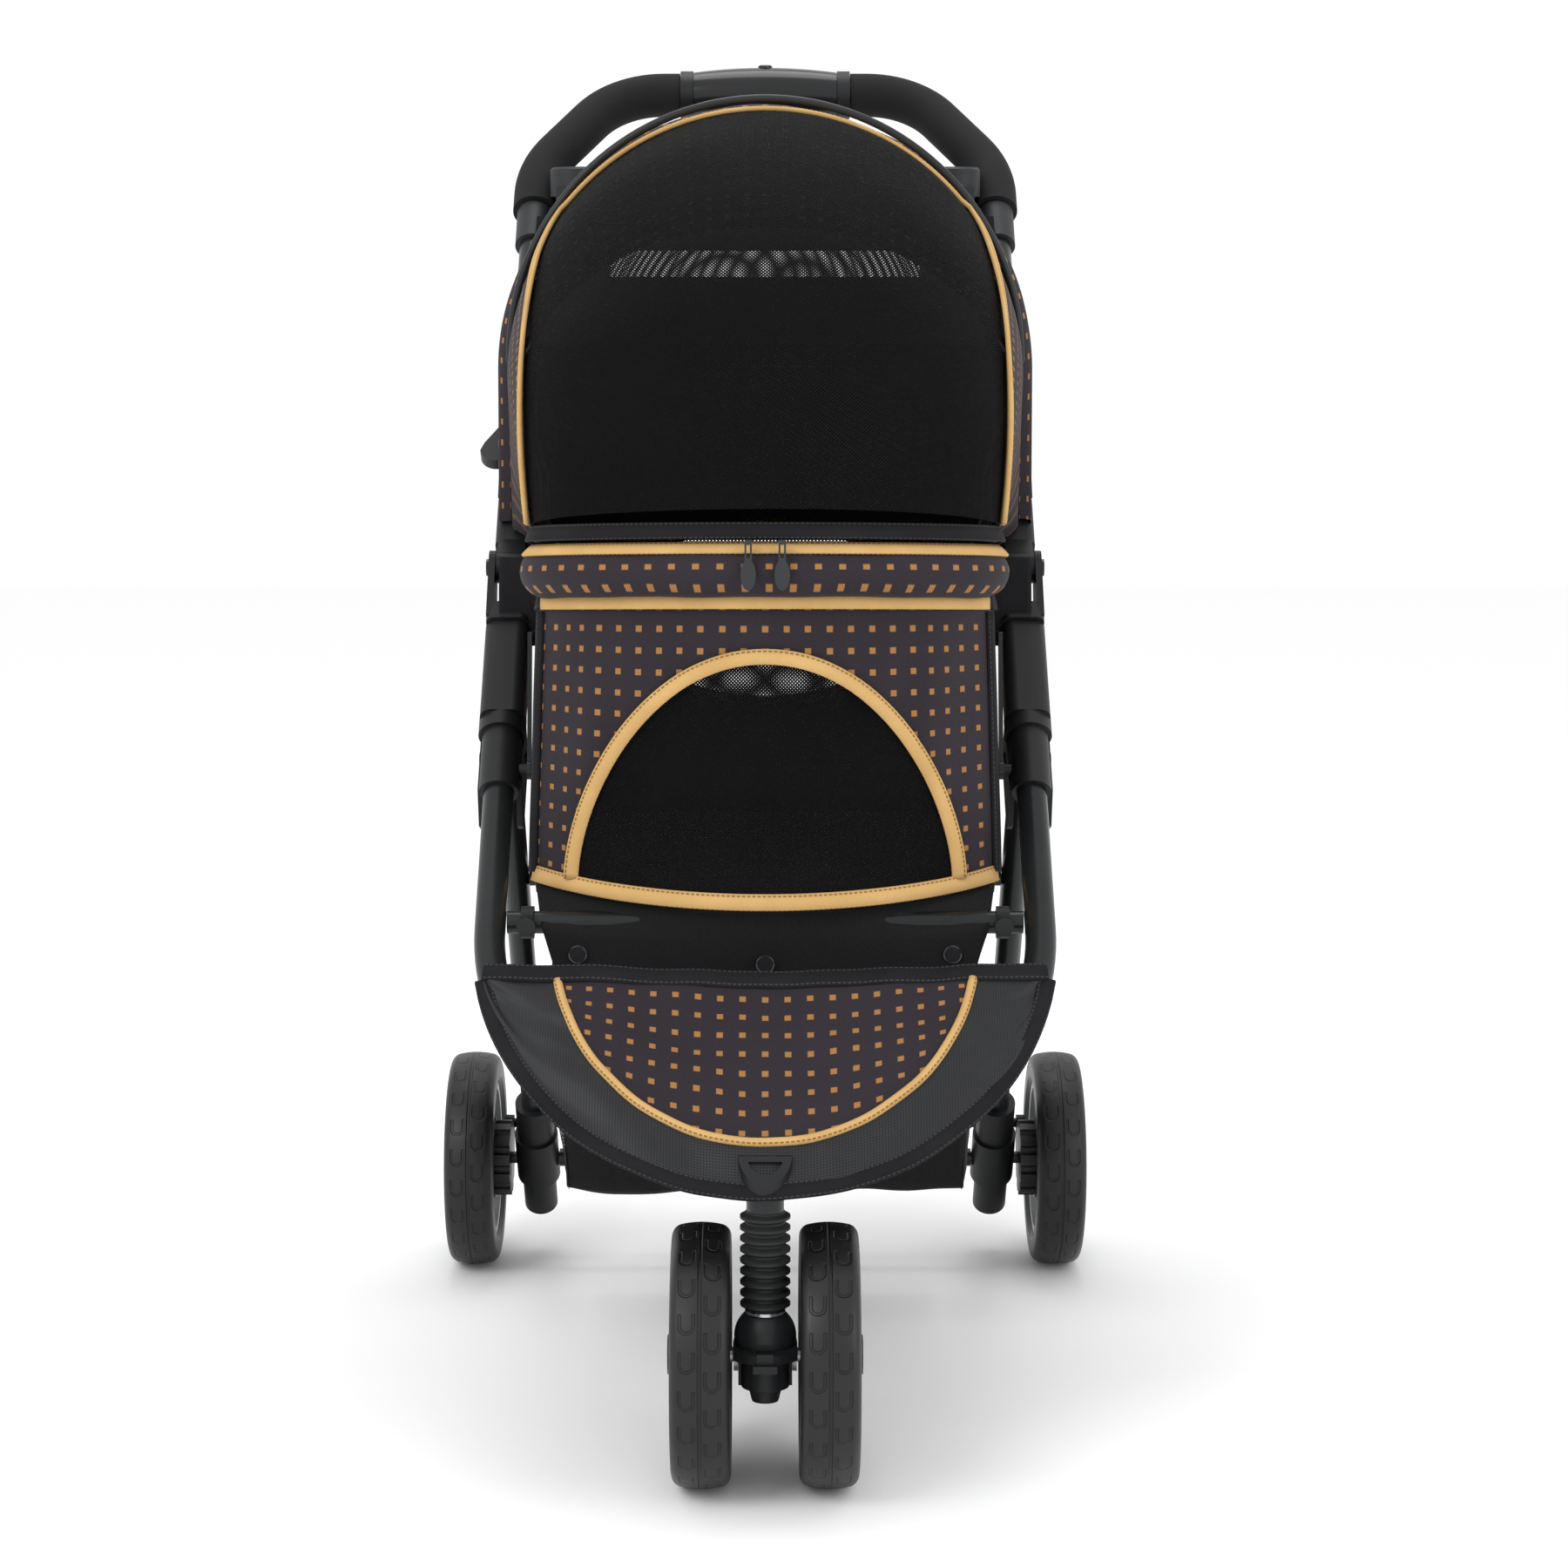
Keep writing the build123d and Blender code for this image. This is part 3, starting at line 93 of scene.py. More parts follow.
camera.location = (0.0, -2.504, 0.750)
camera.rotation_euler = (math.radians(90 - 7.2), 0, 0)
scene.collection.objects.link(camera)
scene.camera = camera
scene.view_settings.view_transform = "Standard"

world = bpy.data.worlds.new("studio")
scene.world = world
world.use_nodes = True
world.node_tree.nodes["Background"].inputs["Color"].default_value = (1, 1, 1, 1)
world.node_tree.nodes["Background"].inputs["Strength"].default_value = 1.02


def area_light(name, where, target, size, watts):
    data = bpy.data.lights.new(name, "AREA")
    data.size = size
    data.energy = watts
    lamp = bpy.data.objects.new(name, data)
    lamp.location = where
    lamp.rotation_mode = "QUATERNION"
    lamp.rotation_quaternion = (Vector(target) - Vector(where)).to_track_quat("-Z", "Y")
    scene.collection.objects.link(lamp)
    return lamp


area_light("key", (-1.8, -2.2, 2.4), (0, 0, 0.5), 1.4, 34)
area_light("fill", (2.2, -1.8, 1.5), (0, 0, 0.5), 1.6, 16)
area_light("top", (0.0, 0.6, 2.6), (0, 0, 0.6), 1.2, 14)

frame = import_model()
joints = {j["name"]: j for j in frame["record"]["behaviour"]["joints"]}
PIVOT = Vector(joints["canopy_open"]["pos_m"])
LEAN = math.sqrt(0.5)
RING_TILT = math.radians(4.5)


# ---------------------------------------------------------------- node helpers
class Nodes:
    """Short way to build one material's node tree."""

    def __init__(self, name):
        self.mat = bpy.data.materials.new(name)
        self.mat.use_nodes = True
        self.tree = self.mat.node_tree
        self.bsdf = self.tree.nodes["Principled BSDF"]

    def add(self, kind, **sockets):
        n = self.tree.nodes.new(kind)
        for key, value in sockets.items():
            self.put(n.inputs[key.replace("_", " ")], value)
        return n

    def put(self, socket, value):
        if isinstance(value, bpy.types.NodeSocket):
            self.tree.links.new(value, socket)
        else:
            socket.default_value = value

    def math(self, op, a, b=0.0, c=0.0):
        n = self.tree.nodes.new("ShaderNodeMath")
        n.operation = op
        for i, v in enumerate((a, b, c)):
            self.put(n.inputs[i], v)
        return n.outputs[0]

    def coords(self, which="Object"):
        return self.tree.nodes.new("ShaderNodeTexCoord").outputs[which]

    def split(self, vector):
        return self.add("ShaderNodeSeparateXYZ", Vector=vector).outputs

    def noise(self, scale, vector=None, detail=3.0, rough=0.55):
        where = vector or self.coords()
        n = self.add("ShaderNodeTexNoise", Vector=where, Scale=scale, Detail=detail, Roughness=rough)
        return n.outputs["Fac"]

    def mix(self, fac, a, b):
        n = self.tree.nodes.new("ShaderNodeMix")
        n.data_type = "RGBA"
        self.put(n.inputs["Factor"], fac)
        self.put(n.inputs[6], a)
        self.put(n.inputs[7], b)
        return n.outputs[2]

    def ramp(self, value, low, high, out_low=0.0, out_high=1.0):
        n = self.add("ShaderNodeMapRange", Value=value)
        for key, v in (("From Min", low), ("From Max", high), ("To Min", out_low), ("To Max", out_high)):
            n.inputs[key].default_value = v
        return n.outputs[0]

    def bump(self, height, distance, strength=1.0, normal=None):
        n = self.add("ShaderNodeBump", Height=height, Distance=distance, Strength=strength)
        if normal is not None:
            self.put(n.inputs["Normal"], normal)
        return n.outputs[0]

    def finish(self, color, rough, normal=None, **more):
        self.put(self.bsdf.inputs["Base Color"], color)
        self.put(self.bsdf.inputs["Roughness"], rough)
        if normal is not None:
            self.put(self.bsdf.inputs["Normal"], normal)
        for key, value in more.items():
            self.put(self.bsdf.inputs[key.replace("_", " ")], value)
        return self.mat


def rgb(r, g, b):
    """Linear colour from sRGB bytes."""
    lin = [c / 12.92 if c <= 0.04045 else ((c + 0.055) / 1.055) ** 2.4 for c in (r / 255, g / 255, b / 255)]
    return (*lin, 1.0)


def plain_material(
    name, color, rough, grain=900.0, depth=0.00008, metallic=0.0, spread=0.06, coat=0.0, spec=0.3
):
    """Moulded or painted surface: fine grain, faint cloudy wear in colour and gloss."""
    n = Nodes(name)
    n.bsdf.inputs["Specular IOR Level"].default_value = spec if metallic < 0.5 else 0.5
    cloud = n.noise(9.0)
    fine = n.noise(grain, detail=2.0)
    dusty = tuple(min(1.0, c * 1.5 + 0.006) for c in color[:3]) + (1.0,)
    return n.finish(
        n.mix(n.ramp(cloud, 0.4, 0.75, 0, 0.6), color, dusty),
        n.ramp(cloud, 0.3, 0.7, rough - spread, rough + spread),
        n.bump(fine, depth, 0.5),
        Metallic=metallic,
        Coat_Weight=coat,
    )


def cloth_uv(n):
    """Cloth coordinates in metres, from the piece's own UV map."""
    return n.split(n.coords("UV"))


def weave_height(n, u, v, pitch):
    """Plain weave: two crossed sets of round threads."""
    k = 2 * math.pi / pitch
    a = n.math("SINE", n.math("MULTIPLY", u, k))
    b = n.math("SINE", n.math("MULTIPLY", v, k))
    return n.math("MULTIPLY_ADD", n.math("MULTIPLY", a, b), 0.5, 0.5)


def dotted_material(name):
    """Dark brown-grey polyester with a woven grid of small bronze squares."""
    n = Nodes(name)
    u, v, _ = cloth_uv(n)
    pitch, half = 0.0155, 0.0022

    def near(coordinate, shift):
        cell = n.math("FRACT", n.math("MULTIPLY_ADD", coordinate, 1 / pitch, shift))
        off = n.math("ABSOLUTE", n.math("SUBTRACT", cell, 0.5))
        return n.ramp(off, (half - 0.0003) / pitch, (half + 0.0003) / pitch, 1, 0)

    dot = n.math("MULTIPLY", near(u, 0.5), near(v, 0.5))
    weave = weave_height(n, u, v, 0.0016)
    cloud = n.noise(7.0)
    cloth = n.mix(cloud, rgb(30, 26, 30), rgb(46, 41, 47))
    # Painted highlight and shade: the weave's raised crossings are painted lighter and its hollows darker, on
    # the cloth here and on the bronze threads below.
    cloth = n.mix(n.math("MULTIPLY", weave, 0.3), cloth, rgb(66, 58, 66))
    thread = n.mix(weave, rgb(136, 92, 50), rgb(178, 128, 76))
    crease = n.bump(n.noise(14.0, detail=4.0), 0.004, 0.35)
    height = n.math("ADD", weave, n.math("MULTIPLY", dot, 0.8))
    return n.finish(
        n.mix(dot, cloth, thread), n.ramp(weave, 0, 1, 0.82, 0.66), n.bump(height, 0.00035, 0.7, crease),
        Sheen_Weight=0.04, Specular_IOR_Level=0.15,
    )


def plain_cloth(name, low, high, pitch=0.0018, rough=0.8, crease=0.35):
    n = Nodes(name)
    u, v, _ = cloth_uv(n)
    weave = weave_height(n, u, v, pitch)
    base = n.mix(n.noise(8.0), low, high)
    # Painted highlight and shade: the weave's raised crossings are painted lighter than its hollows.
    return n.finish(
        n.mix(n.math("MULTIPLY", weave, 0.3), base, high),
        rough,
        n.bump(weave, 0.0004, 0.7, n.bump(n.noise(12.0, detail=4.0), 0.005, crease)),
        Sheen_Weight=0.03, Specular_IOR_Level=0.15,
    )


def binding_material(name, low, high, stitch, width=0.016):
    """Folded tape: ribs across, and a row of stitches near each edge. u runs along the tape."""
    n = Nodes(name)
    u, v, _ = cloth_uv(n)
    rib = n.math("SINE", n.math("MULTIPLY", u, 2 * math.pi / 0.0011))
    across = n.math("ABSOLUTE", n.math("SUBTRACT", v, width * 0.5))
    row = n.ramp(n.math("ABSOLUTE", n.math("SUBTRACT", across, width * 0.33)), 0.0004, 0.0007, 1, 0)
    step = n.math("FRACT", n.math("MULTIPLY", u, 1 / 0.0036))
    dash = n.math("MULTIPLY", row, n.ramp(n.math("ABSOLUTE", n.math("SUBTRACT", step, 0.5)), 0.3, 0.36, 1, 0))
    base = n.mix(n.noise(30.0), low, high)
    height = n.math("SUBTRACT", n.math("MULTIPLY", rib, 0.25), dash)
    return n.finish(n.mix(dash, base, stitch), 0.8, n.bump(height, 0.0004, 0.6), Specular_IOR_Level=0.15)


def net_material(name, color, pitch=0.0028, wire=0.52):
    """Open net: diagonal threads with holes between them."""
    n = Nodes(name)
    u, v, _ = cloth_uv(n)
    k = 1 / pitch

    def threads(coordinate):
        off = n.math("ABSOLUTE", n.math("SUBTRACT", n.math("FRACT", coordinate), 0.5))
        return n.ramp(off, 0.5 - wire * 0.62, 0.5 - wire * 0.38, 0, 1)

    one = threads(n.math("MULTIPLY", n.math("ADD", u, v), k))
    two = threads(n.math("MULTIPLY", n.math("SUBTRACT", u, v), k))
    thread = n.math("MAXIMUM", one, two)
    return n.finish(
        n.mix(n.noise(9.0), color, tuple(c * 1.8 for c in color[:3]) + (1,)), 0.75,
        n.bump(thread, 0.0003, 0.6), Alpha=thread, Specular_IOR_Level=0.06,
    )


def spacer_material(name):
    """Black air mesh: rows of small round holes in a shiny knit."""
    n = Nodes(name)
    u, v, _ = cloth_uv(n)
    a = n.math("SINE", n.math("MULTIPLY", n.math("ADD", u, v), 2 * math.pi / 0.0042))
    b = n.math("SINE", n.math("MULTIPLY", n.math("SUBTRACT", u, v), 2 * math.pi / 0.0042))
    hole = n.ramp(n.math("MULTIPLY", a, b), 0.25, 0.75)
    # Painted shade: the holes are painted near black, darker than the knit between them.
    base = n.mix(hole, rgb(30, 31, 34), rgb(5, 5, 6))
    crease = n.bump(n.noise(10.0), 0.005, 0.3)
    return n.finish(
        base, n.ramp(hole, 0, 1, 0.5, 0.85), n.bump(hole, 0.0005, -0.8, crease), Specular_IOR_Level=0.35,
    )


def tread_material(name, axle, sides):
    """Foam tyre. Low rounded blocks are pressed into the tread, with a groove round the middle."""
    n = Nodes(name)
    x, y, z = n.split(n.coords())
    turn = n.math("ARCTAN2", n.math("SUBTRACT", z, axle[2]), n.math("SUBTRACT", y, axle[1]))
    lane_shift = n.math("MULTIPLY", n.math("SIGN", n.math("SUBTRACT", n.math("ABSOLUTE", x), sides)), 0.25)
    around = n.math("FRACT", n.math("MULTIPLY_ADD", turn, 22 / (2 * math.pi), lane_shift))
    off_x = n.math("ABSOLUTE", n.math("SUBTRACT", n.math("ABSOLUTE", x), sides))
    groove = n.ramp(off_x, 0.0008, 0.0016, 0, 1)
    lane = n.math("SUBTRACT", off_x, 0.0085)
    along = n.math("MULTIPLY", n.math("SUBTRACT", around, 0.5), 0.0254)
    past = n.math("MAXIMUM", along, 0.0)
    radius = n.math("SQRT", n.math("ADD", n.math("MULTIPLY", lane, lane), n.math("MULTIPLY", past, past)))
    line = n.ramp(n.math("ABSOLUTE", n.math("SUBTRACT", radius, 0.0046)), 0.0007, 0.0013, 1, 0)
    ring = n.math("SUBTRACT", 1.0, n.math("MULTIPLY", line, n.ramp(along, -0.0085, -0.0078, 0, 1)))
    height = n.math("MULTIPLY", groove, ring)
    pores = n.noise(1400.0, detail=2.0)
    total = n.math("ADD", height, n.math("MULTIPLY", pores, 0.12))
    base = n.mix(n.noise(12.0), rgb(14, 14, 15), rgb(26, 26, 27))
    # Painted shade: the sunk ring lines and the middle groove are painted darker than the tread's face.
    low = n.mix(height, rgb(8, 8, 9), base)
    gloss = n.ramp(n.noise(20.0), 0.3, 0.7, 0.36, 0.5)
    return n.finish(low, gloss, n.bump(total, 0.0012, 0.9), Specular_IOR_Level=0.4)


def rim_material(name, axle):
    """Light grey moulded rim whose hub and brake ring are black."""
    n = Nodes(name)
    x, y, z = n.split(n.coords())
    dy, dz = n.math("SUBTRACT", y, axle[1]), n.math("SUBTRACT", z, axle[2])
    radius = n.math("SQRT", n.math("ADD", n.math("MULTIPLY", dy, dy), n.math("MULTIPLY", dz, dz)))
    ring_edge = 0.0354
    outside = n.ramp(radius, ring_edge - 0.0002, ring_edge + 0.0002, 0, 1)
    cloud = n.noise(9.0)
    light = n.mix(cloud, rgb(176, 178, 182), rgb(206, 208, 211))
    dark = n.mix(cloud, rgb(16, 17, 18), rgb(30, 31, 33))
    grain = n.bump(n.noise(900.0), 0.00006, 0.5)
    return n.finish(n.mix(outside, dark, light), n.ramp(cloud, 0.3, 0.7, 0.34, 0.5), grain)


mats = {
    "frame_tube": plain_material("frame_tube", rgb(22, 25, 26), 0.3, 1600, 0.00005, 0.1, 0.05, 0.1),
    "moulding": plain_material("moulding", rgb(20, 21, 23), 0.45, 1100),
    "gloss_moulding": plain_material("gloss_moulding", rgb(18, 19, 21), 0.2, 500, 0.00002, coat=0.2),
    "tray": plain_material("tray", rgb(34, 36, 39), 0.5, 900),
    "bright_steel": plain_material("bright_steel", rgb(176, 178, 180), 0.28, 700, 0.00003, 1.0),
    "bellows_rubber": plain_material("bellows_rubber", rgb(26, 27, 28), 0.55, 700),
    "foam": plain_material("foam", rgb(18, 18, 19), 0.85, 1500, 0.0003),
    "bow_wire": plain_material("bow_wire", rgb(30, 31, 33), 0.4, 900),
    "zip_rubber": plain_material("zip_rubber", rgb(44, 45, 48), 0.5, 700),
    "snap": plain_material("snap", rgb(30, 31, 33), 0.22, 400, 0.00002, coat=0.4),
}
dotted = dotted_material("dotted_fabric")
tan = binding_material("binding", rgb(186, 148, 92), rgb(212, 174, 116), rgb(140, 104, 58))
black_tape = binding_material("black_tape", rgb(18, 18, 20), rgb(34, 34, 37), rgb(60, 60, 62))
net = net_material("mesh_net", rgb(10, 10, 11))
dense_net = net_material("dense_net", rgb(11, 11, 12), 0.0026, 0.58)
air_mesh = spacer_material("air_mesh")
black_cloth = plain_cloth("black_cloth", rgb(14, 14, 15), rgb(26, 26, 28))
plush = plain_cloth("pad_cloth", rgb(52, 48, 54), rgb(80, 74, 80), 0.004, 0.95, 0.6)

axles = {a: Vector(joints[f"{a}_wheel_left_spin"]["pos_m"]) for a in ("front", "rear")}
rim_mats = {a: rim_material(f"{a}_rim", axles[a]) for a in axles}
tyre_mats = {a: tread_material(f"{a}_tread", axles[a], abs(axles[a].x)) for a in axles}
slots = {s["node"]: s["material_slot"] for s in frame["record"]["subparts"]}
for node, obj in frame["nodes"].items():
    slot = slots[node]
    mat = mats.get(slot)
    if slot == "tyre":
        mat = tyre_mats["front" if node.startswith("front") else "rear"]
    if slot == "rim":
        mat = rim_mats["front" if node.startswith("front") else "rear"]
    if node in ("stem_tube", "side_links", "pivot_pins", "rear_axle"):
        mat = mats["frame_tube"]
    obj.data.materials.clear()
    obj.data.materials.append(mat or mats["moulding"])
    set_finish(obj, slot)


# ---------------------------------------------------------------- mesh helpers
def mesh_object(name, verts, faces, uvs=None, smooth=True):
    """Mesh from lists. uvs holds one (u, v) for each vertex of each face, in face order."""
    data = bpy.data.meshes.new(name)
    data.from_pydata([tuple(v) for v in verts], [], faces)
    if uvs is not None:
        layer = data.uv_layers.new(name="UVMap")
        layer.data.foreach_set("uv", [c for uv in uvs for c in uv])
    for p in data.polygons:
        p.use_smooth = smooth
    obj = bpy.data.objects.new(name, data)
    scene.collection.objects.link(obj)
    return obj


def modified(obj, *steps):
    """Adds modifiers, given as (type, {settings}), and applies them."""
    for kind, settings in steps:
        m = obj.modifiers.new(kind, kind)
        for key, value in settings.items():
            setattr(m, key, value)
    bpy.context.view_layer.update()
    dg = bpy.context.evaluated_depsgraph_get()
    made = bpy.data.meshes.new_from_object(obj.evaluated_get(dg), depsgraph=dg)
    obj.modifiers.clear()
    obj.data = made
    return obj


def grid(name, point, nu, nv, mats_, pick=None, thick=0.0, keep=None):
    """Sheet over u, v in 0..1, with its own arc lengths in metres as UVs.

    Returns (object, width, length, area).
    """
    pts = [[Vector(point(i / nu, j / nv)) for j in range(nv + 1)] for i in range(nu + 1)]
    mid_j, mid_i = nv // 2, nu // 2
    us, vs = [0.0], [0.0]
    for i in range(nu):
        us.append(us[-1] + (pts[i + 1][mid_j] - pts[i][mid_j]).length)
    for j in range(nv):
        vs.append(vs[-1] + (pts[mid_i][j + 1] - pts[mid_i][j]).length)
    faces, uvs, indices, area = [], [], [], 0.0
    stride = nv + 1
    for i in range(nu):
        for j in range(nv):
            if keep and not keep((i + 0.5) / nu, (j + 0.5) / nv):
                continue
            quad = ((i, j), (i + 1, j), (i + 1, j + 1), (i, j + 1))
            faces.append([a * stride + b for a, b in quad])
            uvs += [(us[a] - us[mid_i], vs[b]) for a, b in quad]
            p = [pts[a][b] for a, b in quad]
            area += ((p[2] - p[0]).cross(p[3] - p[1])).length / 2
            indices.append(pick((i + 0.5) / nu, (j + 0.5) / nv) if pick else 0)
    obj = mesh_object(name, [p for row in pts for p in row], faces, uvs)
    for m in mats_:
        obj.data.materials.append(m)
    obj.data.polygons.foreach_set("material_index", indices)
    if thick:
        modified(obj, ("SOLIDIFY", {"thickness": thick, "offset": 0.0}))
    return obj, us[-1], vs[-1], area


def cloth(made, held="stretched", rests_on=(), flat=None):
    """Returns the object of a grid's sheet."""
    obj, width, length, area = made
    width, length = flat or (width, length)
    return obj


def frames_along(points, up):
    """Side and up directions at each point of a path."""
    out = []
    for i, p in enumerate(points):
        a, b = points[max(0, i - 1)], points[min(len(points) - 1, i + 1)]
        t = (b - a).normalized()
        n = (up[i] if isinstance(up, list) else up(p) if callable(up) else Vector(up)).normalized()
        side = t.cross(n).normalized()
        out.append((side, side.cross(t).normalized()))
    return out


def sweep(name, points, section, up, mat):
    """Closed section swept along points. section is [(side, up), ...] in metres, or a function of the
    share along."""
    points = [Vector(p) for p in points]
    axes = frames_along(points, up)
    verts, faces, uvs = [], [], []
    run = [0.0]
    for a, b in zip(points, points[1:]):
        run.append(run[-1] + (b - a).length)
    first = section(0.0) if callable(section) else section
    count = len(first)
    girth = [0.0]
    for k in range(count):
        a, b = first[k], first[(k + 1) % count]
        girth.append(girth[-1] + math.hypot(a[0] - b[0], a[1] - b[1]))
    for i, p in enumerate(points):
        shape = section(run[i] / run[-1]) if callable(section) else section
        side, top = axes[i]
        verts += [p + side * s + top * t for s, t in shape]
    rings = len(points)
    for i in range(rings - 1):
        for k in range(count):
            k2 = (k + 1) % count
            faces.append([i * count + k, i * count + k2, (i + 1) * count + k2, (i + 1) * count + k])
            uvs += [(run[a], girth[b]) for a, b in ((i, k), (i, k + 1), (i + 1, k + 1), (i + 1, k))]
    for i, order in ((0, range(count - 1, -1, -1)), (rings - 1, range(count))):
        order = list(order)
        faces.append([i * count + k for k in order])
        uvs += [(run[i], girth[k]) for k in order]
    obj = mesh_object(name, verts, faces, uvs)
    obj.data.materials.append(mat)
    return obj


def flat_section(width, thick):
    """Tape: a flat section with rounded edges. It starts at one edge so that its v runs across the top."""
    w, t = width / 2, thick / 2
    return [(-w, 0), (-w * 0.9, t), (0, t * 1.15), (w * 0.9, t), (w, 0), (w * 0.9, -t), (-w * 0.9, -t)]


def round_section(a, b=None, count=20):
    b = b or a
    turns = [2 * math.pi * k / count for k in range(count)]
    return [(a * math.cos(turn), b * math.sin(turn)) for turn in turns]


def on_frame(x, u, n):
    """Row-frame point, in metres, from (x, u, n) in millimetres on the leaning plane of the tubes."""
    return Vector((x, -213 + LEAN * (u - n), 365 + LEAN * (u + n))) / 1000


def on_ring(x, v, w):
    """Row-frame point, in metres, from millimetres on the bumper ring's plane."""
    c, s = math.cos(RING_TILT), math.sin(RING_TILT)
    return Vector((x, 31 + v * c + w * s, 591 - v * s + w * c)) / 1000


def rumple(p, size=0.05, depth=0.002, seed=0.0):
    return noise.noise(Vector(p) / size + Vector((seed, seed, seed))) * depth


def ring_path(half, front, height, start=-48.0, straight=-205.0, count=64):
    """Points of the U-shaped ring, from the left end round the front to the right end."""
    pts = [on_ring(-half, start + (straight - start) * k / 10, height) for k in range(10)]
    for k in range(count + 1):
        a = math.pi + math.pi * k / count
        pts.append(on_ring(half * math.cos(a), straight + (straight - front) * math.sin(a), height))
    pts += [on_ring(half, straight + (start - straight) * k / 10, height) for k in range(1, 11)]
    return pts


RING_UP = Vector((0, math.sin(RING_TILT), math.cos(RING_TILT)))
FRAME_UP = Vector((0, -LEAN, LEAN))


def squashed(obj):
    """Cloth on the cabin: rides the front frame, on a mesh of its own."""
    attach(obj, "front_frame")
    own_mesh(obj)
    return obj


# ---------------------------------------------------------------- cabin
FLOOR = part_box("cabin_floor")[0].z
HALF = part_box("cabin_sides")[1].x
SIDE_EDGE, MIDDLE = -0.168, -0.228
RING_EDGE, RING_MIDDLE = -205.0, -290.0


def arc_y(s, edge, middle):
    """y on the three-point arc at share s of the half width."""
    return middle + (edge - middle) * (1 - math.sqrt(max(0.0, 1 - 0.86 * s * s))) / (1 - math.sqrt(0.14))


def front_point(u, v):
    s = 2 * u - 1
    low = Vector((s * HALF, arc_y(s, SIDE_EDGE, MIDDLE), FLOOR + 0.004 + 0.012 * s * s))
    high = on_ring(s * 158, arc_y(s, RING_EDGE, RING_MIDDLE), -20)
    p = low.lerp(high, v)
    bulge = math.sin(math.pi * v) * 0.006 * (1 - 0.5 * s * s)
    p.y -= bulge + rumple((s, v * 0.5, 0), 0.16, 0.006) * math.sin(math.pi * v)
    return p


WINDOW_TOP, WINDOW_HALF = 0.553, 0.138


def window_edge(x):
    """Height of the arched window's top at x."""
    s = min(1.0, abs(x) / WINDOW_HALF)
    return FLOOR + 0.008 + (WINDOW_TOP - FLOOR - 0.008) * (1 - s**2.1) ** 0.62


def in_window(u, v):
    p = front_point(u, v)
    return abs(p.x) < WINDOW_HALF and p.z < window_edge(p.x)


front_cloth = grid("cabin_front_cloth", front_point, 130, 84, [dotted], keep=lambda u, v: not in_window(u, v))
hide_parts("cabin_front_panel")
squashed(cloth(front_cloth, "stretched", ["front_legs"]))
window_net = grid(
    "front_window_net", lambda u, v: front_point(u, v) + Vector((0, 0.0006, 0)), 130, 84, [dense_net],
    keep=in_window,
)
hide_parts("window_meshes")
squashed(cloth(window_net, "stretched", ["front_legs"]))


def on_front(x, z):
    """Point on the front wall straight behind (x, z)."""
    s = x / (HALF - (z - FLOOR) * 0.04)
    v = min(1.0, max(0.0, (z - FLOOR) / 0.222))
    return front_point((s + 1) / 2, v)


def tape(name, points, up, width=0.011, thick=0.003, mat=None):
    obj = sweep(name, points, flat_section(width, thick), up, mat or tan)
    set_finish(obj, "binding")
    return obj


arch = []
for k in range(61):
    a = math.pi * k / 60
    x = -WINDOW_HALF * math.cos(a)
    arch.append(on_front(x, window_edge(x)) + Vector((0, -0.0025, 0)))
squashed(tape("window_binding", arch, lambda p: Vector((p.x * 1.2, -1, 0.1)), 0.011, 0.0028))
hem = [front_point(k / 60, 0.0) + Vector((0, -0.003, 0.004)) for k in range(61)]
squashed(tape("cabin_hem_binding", hem, (0, -1, 0.1), 0.012, 0.003))
piping_low = [front_point(k / 60, 1.0) + Vector((0, -0.004, -0.001)) for k in range(61)]
squashed(tape("bumper_low_binding", piping_low, (0, -1, 0.1), 0.011, 0.003))

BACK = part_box("cabin_back_panel")[1].y
FLARE_LOW, FLARE_HEIGHT, FLARE_WIDTH = 0.585, 0.12, 0.034
SIDE_TOP = 0.582


def flare(z):
    """How far the upper cabin walls widen out to meet the hood."""
    s = min(1.0, max(0.0, (z - FLARE_LOW) / FLARE_HEIGHT))
    return FLARE_WIDTH * s * s * (3 - 2 * s)


def side_point(side):
    """Side wall, from the front panel's edge to the back panel."""
    def point(u, v):
        seam = front_point((side + 1) / 2, v)
        y = seam.y + (BACK - seam.y) * u
        top = SIDE_TOP + max(0.0, y - 0.03) * 0.98
        z = FLOOR + (top - FLOOR) * v
        hollow = 0.010 * math.sin(math.pi * u) * math.sin(math.pi * v)
        x = HALF - hollow + rumple((u, v, side), 0.2, 0.004) + flare(z)
        near = max(0.0, 1 - u / 0.14) ** 2
        return Vector((side * (x + (abs(seam.x) - x) * near), y, z + (seam.z - z) * near))
    return point


for side, label in ((-1, "left"), (1, "right")):
    made = grid(f"cabin_side_cloth_{label}", side_point(side), 60, 40, [dotted])
    if side < 0:
        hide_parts("cabin_sides")
    squashed(cloth(made, "stretched", ["joint_sleeves"]))
    edge = [side_point(side)(k / 30, 1.0) for k in range(31)]
    squashed(tape(f"cabin_side_binding_{label}", edge, (side, 0, 0.2), 0.011, 0.003, black_tape))
    proud = Vector((side * 0.001, -0.001, 0))
    front_seam = [front_point((side + 1) / 2, 0.02 + 0.94 * k / 30) + proud for k in range(31)]
    squashed(tape(f"cabin_front_seam_{label}", front_seam, (side, -0.7, 0), 0.009, 0.003, black_tape))
    back_seam = [Vector((side * (HALF + flare(z)), BACK + 0.001, z)) for z in np.linspace(FLOOR, 0.768, 36)]
    squashed(tape(f"cabin_back_seam_{label}", back_seam, (side, 0.8, 0), 0.012, 0.004, black_tape))


